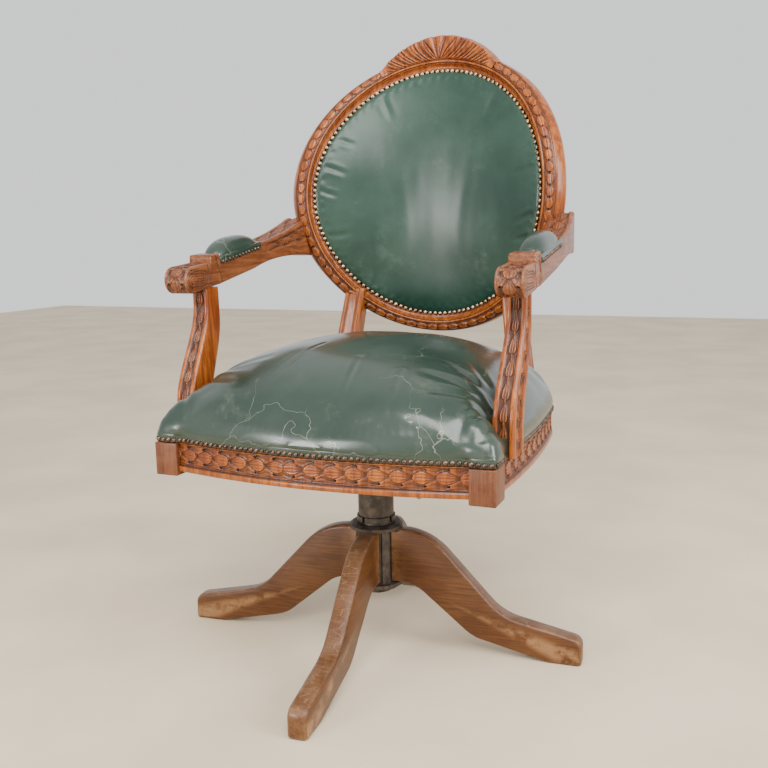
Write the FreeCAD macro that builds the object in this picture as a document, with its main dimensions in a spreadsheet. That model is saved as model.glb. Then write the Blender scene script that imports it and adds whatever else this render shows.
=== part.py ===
import FreeCAD, Part
import math
import os
import re
import Sketcher

# A round-back open armchair on a four-legged oak swivel base.
# The chair faces -Y, +X is the sitter's left and Z = 0 is the floor under the swivel axis.
# Lengths are in millimetres, angles in degrees.

V = FreeCAD.Vector
doc = FreeCAD.newDocument("SwivelArmchair")
size = doc.addObject("Spreadsheet::Sheet", "Size")

CELLS = [
    # Swivel base
    ("BaseTurn", 4, "how far the legs stand turned under the seat"),
    ("LegReach", 354, "swivel axis to the tip of a toe"),
    ("LegThick", 31, "oak plank the legs are sawn from"),
    ("LegTop", 206, "top of a leg at the hub"),
    ("LegDepth", 94, "height of a leg where it meets the hub"),
    ("LegRoot", 32, "axis to the inner end of a leg"),
    ("ShoulderReach", 95, "axis to where the level top turns down"),
    ("ShoulderRound", 110, "round of the shoulder"),
    ("InstepReach", 221, "axis to the hollow of the ogee"),
    ("InstepHeight", 72, "height of that hollow"),
    ("InstepRound", 90, "round of the hollow"),
    ("ToeHeight", 44, "top of the toe at its tip"),
    ("ArchReach", 172, "axis to the top of the arch underneath"),
    ("ArchHeight", 29, "height of the underside there"),
    ("ToeRound", 7, "round of the toe's upper edge"),
    ("ArchRound", 70, "round of the arch"),
    ("HeelReach", 71, "axis to where the underside leaves the hub"),
    ("HeelRound", 60, "round there"),
    ("SoleLength", 54, "part of the foot that rests on the floor"),
    ("LegEdge", 3, "broken edge along the legs"),
    # Hub and spindle
    ("HubRadius", 36, "iron hub between the legs"),
    ("HubBore", 21, "radius of the hole through the hub"),
    ("HubFlutes", 12, "flutes round the hub"),
    ("FluteWide", 6, "mouth of a flute"),
    ("FluteDeep", 2.5, "depth of a flute"),
    ("CapRadius", 46, "plates above and below the legs"),
    ("CapThick", 9, "upper plate"),
    ("SolePlate", 6, "lower plate"),
    ("HubTail", 12, "hub below the lower plate"),
    ("LegScrews", 39, "axis to the screws that hold the legs"),
    ("NutAcross", 58, "ring nut under the base, across its flats"),
    ("BushLength", 26, "bearing sleeves in the hub"),
    ("SpindleRadius", 16, "screw spindle"),
    ("SpindleFoot", 90, "lower end of the spindle"),
    ("PinRadius", 3, "cross pin through the boss and the spindle"),
    ("RunFit", 0.05, "radial clearance of a running fit"),
    ("SeatGap", 0.3, "gap where a soft or loose piece meets its seat"),
    ("KeyWide", 6, "key that turns the washer with the spindle"),
    ("KeyDeep", 3, "depth of the keyway"),
    ("WasherRadius", 30, "keyed washer"),
    ("WasherThick", 2, "keyed washer"),
    ("CollarRadius", 33, "height collar"),
    ("CollarHigh", 10, "height collar"),
    ("SlotWide", 5, "spanner slots in the collar"),
    ("SlotDeep", 5, "spanner slots in the collar"),
    ("ShroudRadius", 30.5, "tube over the spindle"),
    ("ShroudWall", 2.5, "tube over the spindle"),
    ("Rise", 54, "height adjustment"),
    # Seat frame
    ("SeatWide", 560, "over the front blocks"),
    ("BlockWide", 40, "front block across"),
    ("BlockDeep", 46, "front block front to back"),
    ("BlockArris", 2, "rounded outer corners of the blocks"),
    ("BlockFront", 232, "axis to the face of the front blocks"),
    ("BlockFoot", 331, "underside of the sawn-off legs"),
    ("RailFoot", 338, "underside of the seat rails"),
    ("RailShow", 46, "carved height of the rails"),
    ("RailHigh", 65, "whole height of the rails"),
    ("RailThick", 34, "rail front to back"),
    ("RailFront", 226, "axis to the face of the front rail at its ends"),
    ("FrontBow", 30, "bow of the front rail"),
    ("LeatherStep", 3, "step that the leather is nailed into"),
    ("SideStep", 6, "side rails inside the blocks' outer faces"),
    ("WaistStep", 20, "the same where the side rails turn in"),
    ("WaistBack", 196, "axis to the turn of the side rails"),
    ("SideBow", 9, "outward bow of the side rails"),
    ("TurnBow", 13, "bow of the rounded rear corner"),
    ("RearBow", 14, "bow of the rear rail"),
    ("StumpWide", 46, "rear leg stump across"),
    ("StumpDeep", 44, "rear leg stump front to back"),
    ("StumpStep", 71, "rear stumps inside the blocks' outer faces"),
    ("StumpFront", 252, "axis to the front of the rear stumps"),
    ("BraceLeg", 62, "corner braces, along each rail"),
    ("BraceHigh", 28, "corner braces"),
    ("BearerWide", 60, "bearers that carry the seat iron"),
    ("BearerHigh", 27, "bearers that carry the seat iron"),
    ("BearerPlace", 74, "axis to the middle of a bearer"),
    ("IronThick", 6, "seat iron"),
    ("IronArm", 34, "width of its arms"),
    ("IronReach", 96, "half spread of its screws across"),
    ("BossHigh", 22, "boss under the seat iron"),
    ("ScrewRadius", 2.4, "shank of the wood screws"),
    ("ScrewLength", 22, "wood screws below their heads"),
    ("ScrewHead", 5, "radius of the screw heads"),
    ("HeadHigh", 3, "height of the screw heads"),
    # Seat cushion
    ("CushionCrown", 130, "crown of the seat above the top of the rails"),
    ("CushionEdge", 27, "leather edge above the top of the rails"),
    ("CushionWell", 66, "hollow in the stuffing where the springs stand"),
    ("WebThick", 2.5, "jute webbing"),
    ("WebWide", 50, "jute webbing"),
    ("WebPitch", 105, "spacing of the straps"),
    ("SpringRadius", 36, "end coils of a seat spring"),
    ("SpringWaist", 22, "middle of a seat spring"),
    ("TornWide", 110, "torn webbing that hangs under the seat"),
    ("TornDrop", 52, "how far it hangs"),
    # Arms
    ("ArmOverhang", 18, "arms outside the blocks' outer faces"),
    ("ArmThick", 43, "arm across"),
    ("KnobFront", 160, "axis to the front of the arm scroll"),
    ("KnobDrop", 39, "middle of the scroll below the top of the raised block"),
    ("KnobRadius", 22, "radius of the scroll"),
    ("StepFront", 84, "axis to the front of the raised block"),
    ("StepLength", 27, "raised block, front to back"),
    ("StepTop", 673, "top of the raised block"),
    ("StepHigh", 12, "face of the raised block"),
    ("PadBed", 7, "bed of the arm pad below the block"),
    ("PadLength", 137, "bed of the arm pad"),
    ("PadRise", 22, "slope of the bed over its length"),
    ("PadStop", 3, "block behind the pad"),
    ("PadCrown", 22, "crown of an arm pad"),
    ("ArmDepth", 44, "arm under the pad, top to bottom"),
    ("ArmRear", 250, "axis to the rear end of the arm"),
    ("ArmRearTop", 736, "top of the arm where it meets the back"),
    ("ArmRearFoot", 661, "underside of the arm there"),
    ("ArmTurn", 92, "axis to where the arm turns in"),
    ("ArmLap", 20, "arm that stays outside the frame of the back"),
    ("PostStep", 6, "arm posts outside the blocks' outer faces"),
    ("PostFootWide", 35, "arm post across at the foot"),
    ("PostTopWide", 28, "arm post across at the top"),
    ("PostFootFront", 160, "axis to the front of the post at the foot"),
    ("PostFootDeep", 56, "post front to back at the foot"),
    ("PostTopFront", 99, "axis to the front of the post under the arm"),
    ("PostTopDeep", 38, "post front to back under the arm"),
    # Back
    ("BackWide", 221, "half width of the back leather"),
    ("BackHigh", 230, "half height of the back leather"),
    ("BackMiddle", 776, "height of its middle"),
    ("BackPlace", 335, "axis to the middle of the back"),
    ("BackWrap", 313, "radius the back is curved to in plan"),
    ("BackLean", 3, "lean of the back"),
    ("RingWide", 38, "width of the frame round the leather"),
    ("RingDeep", 36, "thickness of the frame"),
    ("RingLip", 4, "frame under the edge of the leather"),
    ("LedgeDeep", 9, "ledge for the leather, below the face of the frame"),
    ("CrestHalf", 94, "half length of the carved crest"),
    ("CrestHigh", 33, "crest above the frame"),
    ("BackPuff", 30, "crown of the back pad"),
    ("BackStuffing", 26, "back pad behind the face of the frame"),
    ("PanelThick", 3, "leather panel on the back of the frame"),
    ("UprightWide", 41, "rear upright across above the seat"),
    ("UprightDeep", 35, "rear upright front to back above the seat"),
    ("UprightInset", 28, "how far it leans in on its way up"),
    ("UprightRake", 28, "how far it leans back on its way up"),
    ("UprightTop", 592, "height where it ends inside the frame"),
]

# Sizes that follow from others
FITS = {
    "SideFront": "SeatWide / 2 - SideStep",
    "SideWaist": "SeatWide / 2 - WaistStep",
    "StumpSide": "SeatWide / 2 - StumpStep",
    "ArmOuter": "SeatWide / 2 + ArmOverhang",
    "ArmInset": "SeatWide / 2 + ArmOverhang - BackWide - RingWide - ArmLap",
    "PostOuter": "SeatWide / 2 + PostStep",
    "KnobHeight": "StepTop - KnobDrop",
    "LegFoot": "LegTop - LegDepth",
    "HubTop": "LegTop + CapThick",
    "StumpMiddle": "StumpFront + StumpDeep * 0.75",
    "ScrewHole": "ScrewRadius + SeatGap",
    "PinHeight": "RailFoot - IronThick - BossHigh / 2",
}

for line, (alias, value, note) in enumerate(CELLS, start=1):
    size.set("A%d" % line, alias)
    size.set("B%d" % line, str(value))
    size.setAlias("B%d" % line, alias)
    size.set("C%d" % line, note)
doc.recompute()

NODES = []


def cell(text):
    """An expression in which every capitalised word is a cell of the sheet, or follows from cells."""
    text = re.sub(r"\b([A-Z][A-Za-z]+)\b", lambda word: "(%s)" % FITS.get(word[0], word[0]), str(text))
    return re.sub(r"\b([A-Z][A-Za-z]+)\b", r"Size.\1", text)


def mm(text):
    return float(size.evalExpression(cell(text)))


def place(piece, x=None, y=None, z=None, turn=None):
    """Bind where a piece stands, and how it is turned about the vertical."""
    for axis, text in (("x", x), ("y", y), ("z", z)):
        if text is not None:
            piece.setExpression("Placement.Base." + axis, cell(text))
    if turn is not None:
        piece.Placement = FreeCAD.Placement(piece.Placement.Base, FreeCAD.Rotation(V(0, 0, 1), mm(turn)))
        piece.setExpression("Placement.Rotation.Angle", cell(turn))


def node(piece, name):
    piece.Label = name
    NODES.append(piece)
    return piece


def new_body(name, whole=True):
    """A body is a piece of its own, unless another piece still has to be cut from it."""
    body = doc.addObject("PartDesign::Body", "Body_" + name)
    body.Label = name + "_blank"
    return node(body, name) if whole else body


def plane_of(body, role):
    return next(f for f in body.Origin.OriginFeatures if f.Role == role)


def outline(body, role, name, corners, bends=None, lift=None):
    """A closed sketch through corners. bends gives the radius and side of an arc that leaves a corner."""
    sketch = body.newObject("Sketcher::SketchObject", name)
    sketch.AttachmentSupport = [(plane_of(body, role), "")]
    sketch.MapMode = "FlatFace"
    if lift is not None:
        sketch.setExpression("AttachmentOffset.Base.z", cell(lift))
    bends = bends or {}
    spots = [V(mm(x), mm(y), 0) for x, y in corners]
    ends = []
    for i, start in enumerate(spots):
        stop = spots[(i + 1) % len(spots)]
        if i in bends:
            radius, side = bends[i]
            chord = stop - start
            half = chord.Length / 2
            sagitta = mm(radius) - math.sqrt(mm(radius) ** 2 - half**2)
            normal = V(-chord.y, chord.x, 0).normalize() * (sagitta * side)
            arc = Part.Arc(start, (start + stop) * 0.5 + normal, stop)
            index = sketch.addGeometry(arc)
            first = (sketch.getPoint(index, 1) - start).Length < (sketch.getPoint(index, 1) - stop).Length
            ends.append((index, 1, 2) if first else (index, 2, 1))
            bind(sketch, "Radius", "bend%d" % i, index, radius)
        else:
            index = sketch.addGeometry(Part.LineSegment(start, stop))
            ends.append((index, 1, 2))
    for i, (x, y) in enumerate(corners):
        before = ends[i - 1]
        here = ends[i]
        sketch.addConstraint(Sketcher.Constraint("Coincident", before[0], before[2], here[0], here[1]))
        for kind, text, tag in (("DistanceX", x, "x%d"), ("DistanceY", y, "y%d")):
            index = sketch.addConstraint(Sketcher.Constraint(kind, -1, 1, here[0], here[1], mm(text)))
            sketch.renameConstraint(index, tag % i)
            sketch.setExpression("Constraints." + tag % i, cell(text))
    return sketch


def bind(sketch, kind, tag, index, text):
    """A named constraint on one edge, bound to an expression."""
    number = sketch.addConstraint(Sketcher.Constraint(kind, index, mm(text)))
    sketch.renameConstraint(number, tag)
    sketch.setExpression("Constraints." + tag, cell(text))


def circle(body, role, name, x, y, radius, lift=None):
    sketch = body.newObject("Sketcher::SketchObject", name)
    sketch.AttachmentSupport = [(plane_of(body, role), "")]
    sketch.MapMode = "FlatFace"
    if lift is not None:
        sketch.setExpression("AttachmentOffset.Base.z", cell(lift))
    index = sketch.addGeometry(Part.Circle(V(mm(x), mm(y), 0), V(0, 0, 1), mm(radius)))
    for kind, text, tag in (("DistanceX", x, "x"), ("DistanceY", y, "y")):
        number = sketch.addConstraint(Sketcher.Constraint(kind, -1, 1, index, 3, mm(text)))
        sketch.renameConstraint(number, tag)
        sketch.setExpression("Constraints." + tag, cell(text))
    bind(sketch, "Radius", "radius", index, radius)
    return sketch


def pad(body, sketch, name, length, both=False, back=False):
    feature = body.newObject("PartDesign::Pad", name)
    feature.Profile = sketch
    feature.setExpression("Length", cell(length))
    feature.Midplane = both
    feature.Reversed = back
    return feature


def pocket(body, sketch, name, depth=None, back=False, both=False):
    """A cut that has to take something away."""
    doc.recompute()
    before = body.Shape.Volume
    feature = body.newObject("PartDesign::Pocket", name)
    feature.Profile = sketch
    if depth is None:
        feature.Type = "ThroughAll"
    else:
        feature.setExpression("Length", cell(depth))
    feature.Midplane = both
    feature.Reversed = back
    doc.recompute()
    if not body.Shape.Volume < before - 0.01:
        raise RuntimeError(name + " cuts nothing")
    return feature


def revolve(body, name, corners, bends=None):
    sketch = outline(body, "XZ_Plane", name + "Profile", corners, bends)
    feature = body.newObject("PartDesign::Revolution", name)
    feature.Profile = sketch
    feature.ReferenceAxis = (sketch, ["V_Axis"])
    feature.Angle = 360
    return feature


def polar(body, originals, name, count):
    pattern = body.newObject("PartDesign::PolarPattern", name)
    pattern.Originals = originals
    pattern.Axis = (next(f for f in body.Origin.OriginFeatures if f.Role == "Z_Axis"), [""])
    pattern.Angle = 360
    pattern.setExpression("Occurrences", cell(count))
    body.Tip = pattern
    return pattern


def edges_where(shape, test):
    return ["Edge%d" % (i + 1) for i, edge in enumerate(shape.Edges) if test(edge)]


def dress(body, base, kind, name, names, value):
    """A fillet or chamfer on the named edges of a feature."""
    feature = body.newObject("PartDesign::" + kind, name)
    feature.Base = (base, names)
    feature.setExpression("Radius" if kind == "Fillet" else "Size", cell(value))
    return feature


def plain(name, shape):
    """A piece whose surfaces need their own construction."""
    piece = doc.addObject("Part::Feature", "Form_" + name)
    piece.Shape = shape
    return piece


def cut_from(base, tools, name):
    """What is left of a blank once its neighbours are cut from it."""
    for i, tool in enumerate(tools):
        piece = doc.addObject("Part::Cut", "%s_cut%d" % (name, i))
        piece.Base = base
        piece.Tool = tool
        base = piece
    doc.recompute()
    return node(base, name)


def chords(start, middle, stop, count):
    """Points of the arc from start to stop through middle, without start."""
    arc = Part.Arc(start, middle, stop).toShape()
    spots = arc.discretize(count + 1)
    if (spots[0] - start).Length > 1e-6:
        spots.reverse()
    return spots[1:]


def flat(points):
    """A flat face through points, or none where they are fewer than three."""
    spots = [p for i, p in enumerate(points) if (p - points[i - 1]).Length > 1e-6]
    return [Part.Face(Part.makePolygon(spots + spots[:1]))] if len(spots) > 2 else []


def skin(rings):
    """A solid whose flat faces run from ring to ring. Each ring is a closed loop, or one point many times."""
    faces = flat(rings[0]) + flat(rings[-1])
    for low, high in zip(rings, rings[1:]):
        for i in range(len(low)):
            a, b, c, d = low[i - 1], low[i], high[i], high[i - 1]
            normal = (b - a).cross(c - a) + (c - a).cross(d - a)
            if normal.Length > 0 and abs((d - a).dot((b - a).cross(c - a))) < 1e-5 * normal.Length:
                faces += flat([a, b, c, d])
            else:
                faces += flat([a, b, c]) + flat([a, c, d])
    shell = Part.Shell(faces)
    shell.sewShape()
    solid = Part.Solid(shell)
    if solid.Volume < 0:
        solid.reverse()
    return solid


# Swivel base

def base_leg(name, number):
    """One ogee leg, sawn from a plank: the profile stands upright and the plank is its thickness."""
    body = new_body(name)
    corners = [
        ("LegRoot", "LegTop"),
        ("ShoulderReach", "LegTop"),
        ("InstepReach", "InstepHeight"),
        ("LegReach", "ToeHeight"),
        ("LegReach", "0"),
        ("LegReach - SoleLength", "0"),
        ("ArchReach", "ArchHeight"),
        ("HeelReach", "LegFoot"),
        ("LegRoot", "LegFoot"),
    ]
    sketch = outline(body, "XZ_Plane", name + "_outline", corners)
    block = pad(body, sketch, name + "_plank", "LegThick", both=True)
    doc.recompute()
    rounds = (("ShoulderReach", "LegTop", "ShoulderRound"), ("InstepReach", "InstepHeight", "InstepRound"),
              ("LegReach", "ToeHeight", "ToeRound"), ("ArchReach", "ArchHeight", "ArchRound"),
              ("HeelReach", "LegFoot", "HeelRound"))
    base = block
    for i, (x, z, radius) in enumerate(rounds):
        spot = (mm(x), mm(z))

        def upright(edge):
            ends = [v.Point for v in edge.Vertexes]
            return len(ends) == 2 and all(math.hypot(p.x - spot[0], p.z - spot[1]) < 0.01 for p in ends)

        base = dress(body, base, "Fillet", "%s_round%d" % (name, i), edges_where(base.Shape, upright), radius)
        doc.recompute()
    half = mm("LegThick") / 2

    def long_edge(edge):
        spots = edge.discretize(3)
        level = all(abs(abs(p.y) - half) < 0.01 for p in spots)
        return level and min(p.x for p in spots) > mm("LegRoot") + 1 and max(p.z for p in spots) > 1

    dress(body, base, "Chamfer", name + "_edge", edges_where(base.Shape, long_edge), "LegEdge")
    hole = circle(body, "XY_Plane", name + "_hole", "LegScrews", "0", "ScrewHole", "LegFoot")
    pocket(body, hole, name + "_bore", "ScrewLength - SolePlate + 1", back=True)
    place(body, turn="BaseTurn + %d" % (90 * number))
    return body


for number, name in enumerate(("base_leg_right", "base_leg_rear", "base_leg_left", "base_leg_front")):
    base_leg(name, number)


def hub():
    """The iron hub: a fluted tube with a wide rim that lies on the legs and a flat for each leg's end."""
    body = new_body("hub")
    corners = [
        ("HubBore", "LegFoot - SolePlate - HubTail"),
        ("HubRadius - 9", "LegFoot - SolePlate - HubTail"),
        ("HubRadius - 9", "LegFoot"),
        ("HubRadius", "LegFoot"),
        ("HubRadius", "LegTop"),
        ("CapRadius", "LegTop"),
        ("CapRadius", "LegTop + CapThick * 0.6"),
        ("CapRadius - CapThick * 0.6", "HubTop"),
        ("HubBore", "HubTop"),
    ]
    revolve(body, "HubTube", corners)
    doc.recompute()
    flute = outline(body, "XY_Plane", "FluteSection", [
        ("HubRadius - FluteDeep", "-FluteWide / 5"), ("HubRadius + 1", "-FluteWide / 2"),
        ("HubRadius + 1", "FluteWide / 2"), ("HubRadius - FluteDeep", "FluteWide / 5")], lift="LegFoot")
    cut = pocket(body, flute, "Flute", "LegDepth", back=True)
    polar(body, [cut], "Flutes", "HubFlutes")
    side = "LegThick / 2 + SeatGap"
    flat = outline(body, "XY_Plane", "SocketSection",
                   [("LegRoot", "-(%s)" % side), ("HubRadius + 4", "-(%s)" % side),
                    ("HubRadius + 4", side), ("LegRoot", side)], lift="LegFoot")
    socket = pocket(body, flat, "Socket", "LegDepth", back=True)
    polar(body, [socket], "Sockets", "4")
    place(body, turn="BaseTurn")


hub()


def sole_plate():
    body = new_body("sole_plate")
    revolve(body, "PlateDisc", [
        ("HubRadius - 9 + RunFit", "LegFoot - SolePlate"),
        ("CapRadius", "LegFoot - SolePlate"), ("CapRadius", "LegFoot"),
        ("HubRadius - 9 + RunFit", "LegFoot")])
    hole = circle(body, "XY_Plane", "PlateHole", "LegScrews", "0", "ScrewHole",
                  "LegFoot - SolePlate")
    bore = pocket(body, hole, "PlateBore", "SolePlate", back=True)
    polar(body, [bore], "PlateBores", "4")
    place(body, turn="BaseTurn")


sole_plate()


def hub_nut():
    """The ring nut that draws the lower plate up against the legs."""
    body = new_body("hub_nut")
    across = "NutAcross / sqrt(3)"
    corners = [("%s * %s" % (across, ("1", "0.5", "-0.5", "-1", "-0.5", "0.5")[k]),
                "NutAcross / 2 * %s" % ("0", "1", "1", "0", "-1", "-1")[k]) for k in range(6)]
    sketch = outline(body, "XY_Plane", "NutSection", corners, lift="LegFoot - SolePlate - HubTail + 2")
    pad(body, sketch, "NutBlock", "HubTail - 2")
    hole = circle(body, "XY_Plane", "NutHole", "0", "0", "HubRadius - 9 + RunFit")
    pocket(body, hole, "NutBore", back=True)


hub_nut()


def bush(name, low):
    body = new_body(name)
    high = "%s + BushLength" % low
    revolve(body, name + "_sleeve", [("SpindleRadius + RunFit", low), ("HubBore", low), ("HubBore", high),
                                     ("SpindleRadius + RunFit", high)])


bush("upper_bush", "HubTop - BushLength")
bush("lower_bush", "LegFoot - SolePlate - HubTail + 12")


def polygon(radius, height, sides=8):
    turns = [2 * math.pi * k / sides for k in range(sides + 1)]
    return Part.makePolygon([V(radius * math.cos(a), radius * math.sin(a), height) for a in turns])


def screw(radius, head, length, rise):
    """A wood screw with its head below the origin and its shank pointing up."""
    shank = Part.Face(polygon(radius, 0)).extrude(V(0, 0, length))
    return Part.Face(polygon(head, -rise)).extrude(V(0, 0, rise)).fuse(shank)


def screw_set(name, spots, seat):
    """Like screws are one node: spots are where their heads seat, at the height seat."""
    one = screw(mm("ScrewRadius"), mm("ScrewHead"), mm("ScrewLength"), mm("HeadHigh"))
    made = [one.translated(V(x, y, seat)) for x, y in spots]
    return node(plain(name, Part.makeCompound(made)), name)


def leg_screws():
    turns = [math.radians(mm("BaseTurn") + 90 * k) for k in range(4)]
    spots = [(mm("LegScrews") * math.cos(a), mm("LegScrews") * math.sin(a)) for a in turns]
    screw_set("leg_screws", spots, mm("LegFoot - SolePlate"))


leg_screws()


# Spindle, washer and collar

def keyed_washer():
    """It turns with the spindle through its key, and lets the spindle slide."""
    body = new_body("keyed_washer")
    low = "HubTop"
    revolve(body, "WasherDisc", [
        ("SpindleRadius + RunFit", low), ("WasherRadius", low), ("WasherRadius", low + " + WasherThick"),
        ("SpindleRadius + RunFit", low + " + WasherThick")])
    inner = "SpindleRadius - KeyDeep + RunFit * 2"
    half = "KeyWide / 2 - RunFit"
    outer = "SpindleRadius + 2"
    corners = [(inner, "-(%s)" % half), (outer, "-(%s)" % half), (outer, half), (inner, half)]
    tooth = outline(body, "XY_Plane", "KeySection", corners, lift=low)
    pad(body, tooth, "Key", "WasherThick")


keyed_washer()


def height_collar():
    """The slotted nut on the spindle: it stands on the washer and carries the seat."""
    body = new_body("height_collar")
    low = "HubTop + WasherThick + RunFit"
    high = low + " + CollarHigh"
    revolve(body, "CollarRing", [
        ("SpindleRadius + RunFit", low), ("CollarRadius", low), ("CollarRadius", high),
        ("SpindleRadius + RunFit", high)])
    section = outline(body, "XY_Plane", "SlotSection", [
        ("CollarRadius - SlotDeep", "-SlotWide / 2"), ("CollarRadius + 2", "-SlotWide / 2"),
        ("CollarRadius + 2", "SlotWide / 2"), ("CollarRadius - SlotDeep", "SlotWide / 2")], lift=low)
    slot = pocket(body, section, "Slot", "CollarHigh", back=True)
    polar(body, [slot], "Slots", "4")
    place(body, turn="-108")


height_collar()


def pin_hole(body, name):
    sketch = circle(body, "XZ_Plane", name, "0", "PinHeight", "PinRadius + RunFit")
    pocket(body, sketch, name + "Bore", "ShroudRadius * 2", both=True)


def spindle():
    """A round bar with a keyway all along the part that slides in the washer."""
    body = new_body("spindle")
    low = "SpindleFoot"
    top = "RailFoot"
    revolve(body, "SpindleBar", [("0", low), ("SpindleRadius - 2", low), ("SpindleRadius", low + " + 2"),
                                 ("SpindleRadius", top), ("0", top)])
    section = outline(body, "XY_Plane", "KeywaySection", [
        ("SpindleRadius - KeyDeep", "-KeyWide / 2"), ("SpindleRadius + 2", "-KeyWide / 2"),
        ("SpindleRadius + 2", "KeyWide / 2"), ("SpindleRadius - KeyDeep", "KeyWide / 2")],
        lift=low)
    pocket(body, section, "Keyway", "RailFoot - IronThick - BossHigh - 4 - (%s)" % low, back=True)
    pin_hole(body, "SpindlePinHole")


spindle()


def shroud():
    """The smooth tube that hides the screw down to the collar."""
    body = new_body("shroud_tube")
    low = "HubTop + WasherThick + CollarHigh + SeatGap * 2"
    high = "RailFoot - IronThick"
    inner = "ShroudRadius - ShroudWall"
    revolve(body, "ShroudTube", [(inner, low), ("ShroudRadius", low), ("ShroudRadius", high), (inner, high)])


shroud()


def seat_iron():
    """The seat iron: two flat bars joined by a waisted web, with the boss below its middle."""
    body = new_body("seat_iron")
    low = "RailFoot - IronThick"
    reach = "IronReach + 16"
    outer = "BearerPlace + IronArm / 2"
    inner = "BearerPlace - IronArm / 2"
    waist = "IronArm"
    corners = [
        ("-(%s)" % reach, "-(%s)" % outer), (reach, "-(%s)" % outer), (reach, "-(%s)" % inner),
        (waist, "-(%s)" % inner), (waist, inner), (reach, inner), (reach, outer), ("-(%s)" % reach, outer),
        ("-(%s)" % reach, inner), ("-(%s)" % waist, inner), ("-(%s)" % waist, "-(%s)" % inner),
        ("-(%s)" % reach, "-(%s)" % inner)]
    pad(body, outline(body, "XY_Plane", "CrossSection", corners, lift=low), "Cross", "IronThick")
    boss = circle(body, "XY_Plane", "BossSection", "0", "0", "ShroudRadius - ShroudWall - SeatGap", low)
    pad(body, boss, "Boss", "BossHigh", back=True)
    bore = circle(body, "XY_Plane", "BossHole", "0", "0", "SpindleRadius + RunFit")
    pocket(body, bore, "BossBore", back=True)
    holes = [(x, y) for x in ("IronReach", "-IronReach") for y in ("BearerPlace", "-BearerPlace")]
    for i, (x, y) in enumerate(holes):
        hole = circle(body, "XY_Plane", "ScrewHole%d" % i, x, y, "ScrewHole")
        pocket(body, hole, "ScrewBore%d" % i, back=True)
    pin_hole(body, "BossPinHole")


seat_iron()
iron_holes = [(x * mm("IronReach"), y * mm("BearerPlace")) for x in (1, -1) for y in (1, -1)]
screw_set("seat_iron_screws", iron_holes, mm("RailFoot - IronThick"))


def cross_pin():
    """It carries the seat on the spindle, and the tube keeps it in place."""
    piece = doc.addObject("Part::Cylinder", "CrossPin")
    piece.setExpression("Radius", cell("PinRadius"))
    piece.setExpression("Height", cell("(ShroudRadius - ShroudWall - SeatGap) * 2"))
    piece.Placement = FreeCAD.Placement(V(0, 0, 0), FreeCAD.Rotation(V(1, 0, 0), -90))
    place(piece, y="-(ShroudRadius - ShroudWall - SeatGap)", z="PinHeight")
    return node(piece, "cross_pin")


cross_pin()


# Seat frame

def front_rail():
    """A bowed rail: the carved band is below, the upper part is set back for the leather."""
    body = new_body("front_rail")
    half = "SeatWide / 2 - BlockWide"
    radius = "((%s)^2 + FrontBow^2) / (2 * FrontBow)" % half
    low = outline(body, "XY_Plane", "BandSection", [
        ("-(%s)" % half, "-RailFront"), (half, "-RailFront"), (half, "-RailFront + RailThick"),
        ("-(%s)" % half, "-RailFront + RailThick")], {0: (radius, -1), 2: (radius, 1)}, "RailFoot")
    pad(body, low, "Band", "RailShow")
    high = outline(body, "XY_Plane", "TackSection", [
        ("-(%s)" % half, "-RailFront + LeatherStep"), (half, "-RailFront + LeatherStep"),
        (half, "-RailFront + RailThick"), ("-(%s)" % half, "-RailFront + RailThick")],
        {0: (radius, -1), 2: (radius, 1)}, "RailFoot + RailShow")
    pad(body, high, "TackStrip", "RailHigh - RailShow")
    # A quirk that divides the plain lower moulding from the carved band
    quirk = outline(body, "XY_Plane", "QuirkSection", [
        ("-(%s)" % half, "-RailFront - 3"), (half, "-RailFront - 3"), (half, "-RailFront + 2"),
        ("-(%s)" % half, "-RailFront + 2")], {0: (radius, -1), 2: (radius, 1)}, "RailFoot + 9")
    pocket(body, quirk, "Quirk", "2", back=True)
    return body


FRONT_RAIL = front_rail()


def front_block(name, side):
    """The sawn-off top of a front leg, with its upper part set in for the leather."""
    body = new_body(name)
    outer = "%d * SeatWide / 2" % side
    inner = "%d * (SeatWide / 2 - BlockWide)" % side
    low = outline(body, "XY_Plane", name + "_foot", [
        (inner, "-BlockFront"), (outer, "-BlockFront"), (outer, "-BlockFront + BlockDeep"),
        (inner, "-BlockFront + BlockDeep")], lift="BlockFoot")
    base = pad(body, low, name + "_stump", "RailFoot + RailShow - BlockFoot")
    doc.recompute()

    def upright(edge):
        ends = [v.Point for v in edge.Vertexes]
        return abs(ends[0].z - ends[-1].z) > 1 and all(abs(p.x - mm(outer)) < 0.01 for p in ends)

    dress(body, base, "Fillet", name + "_arris", edges_where(base.Shape, upright), "BlockArris")
    stepped = "%s - %d * LeatherStep" % (outer, side)
    high = outline(body, "XY_Plane", name + "_top", [
        (inner, "-BlockFront + LeatherStep"), (stepped, "-BlockFront + LeatherStep"),
        (stepped, "-BlockFront + BlockDeep"), (inner, "-BlockFront + BlockDeep")], lift="RailFoot + RailShow")
    pad(body, high, name + "_tack", "RailHigh - RailShow")


front_block("front_block_right", 1)
front_block("front_block_left", -1)


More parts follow.
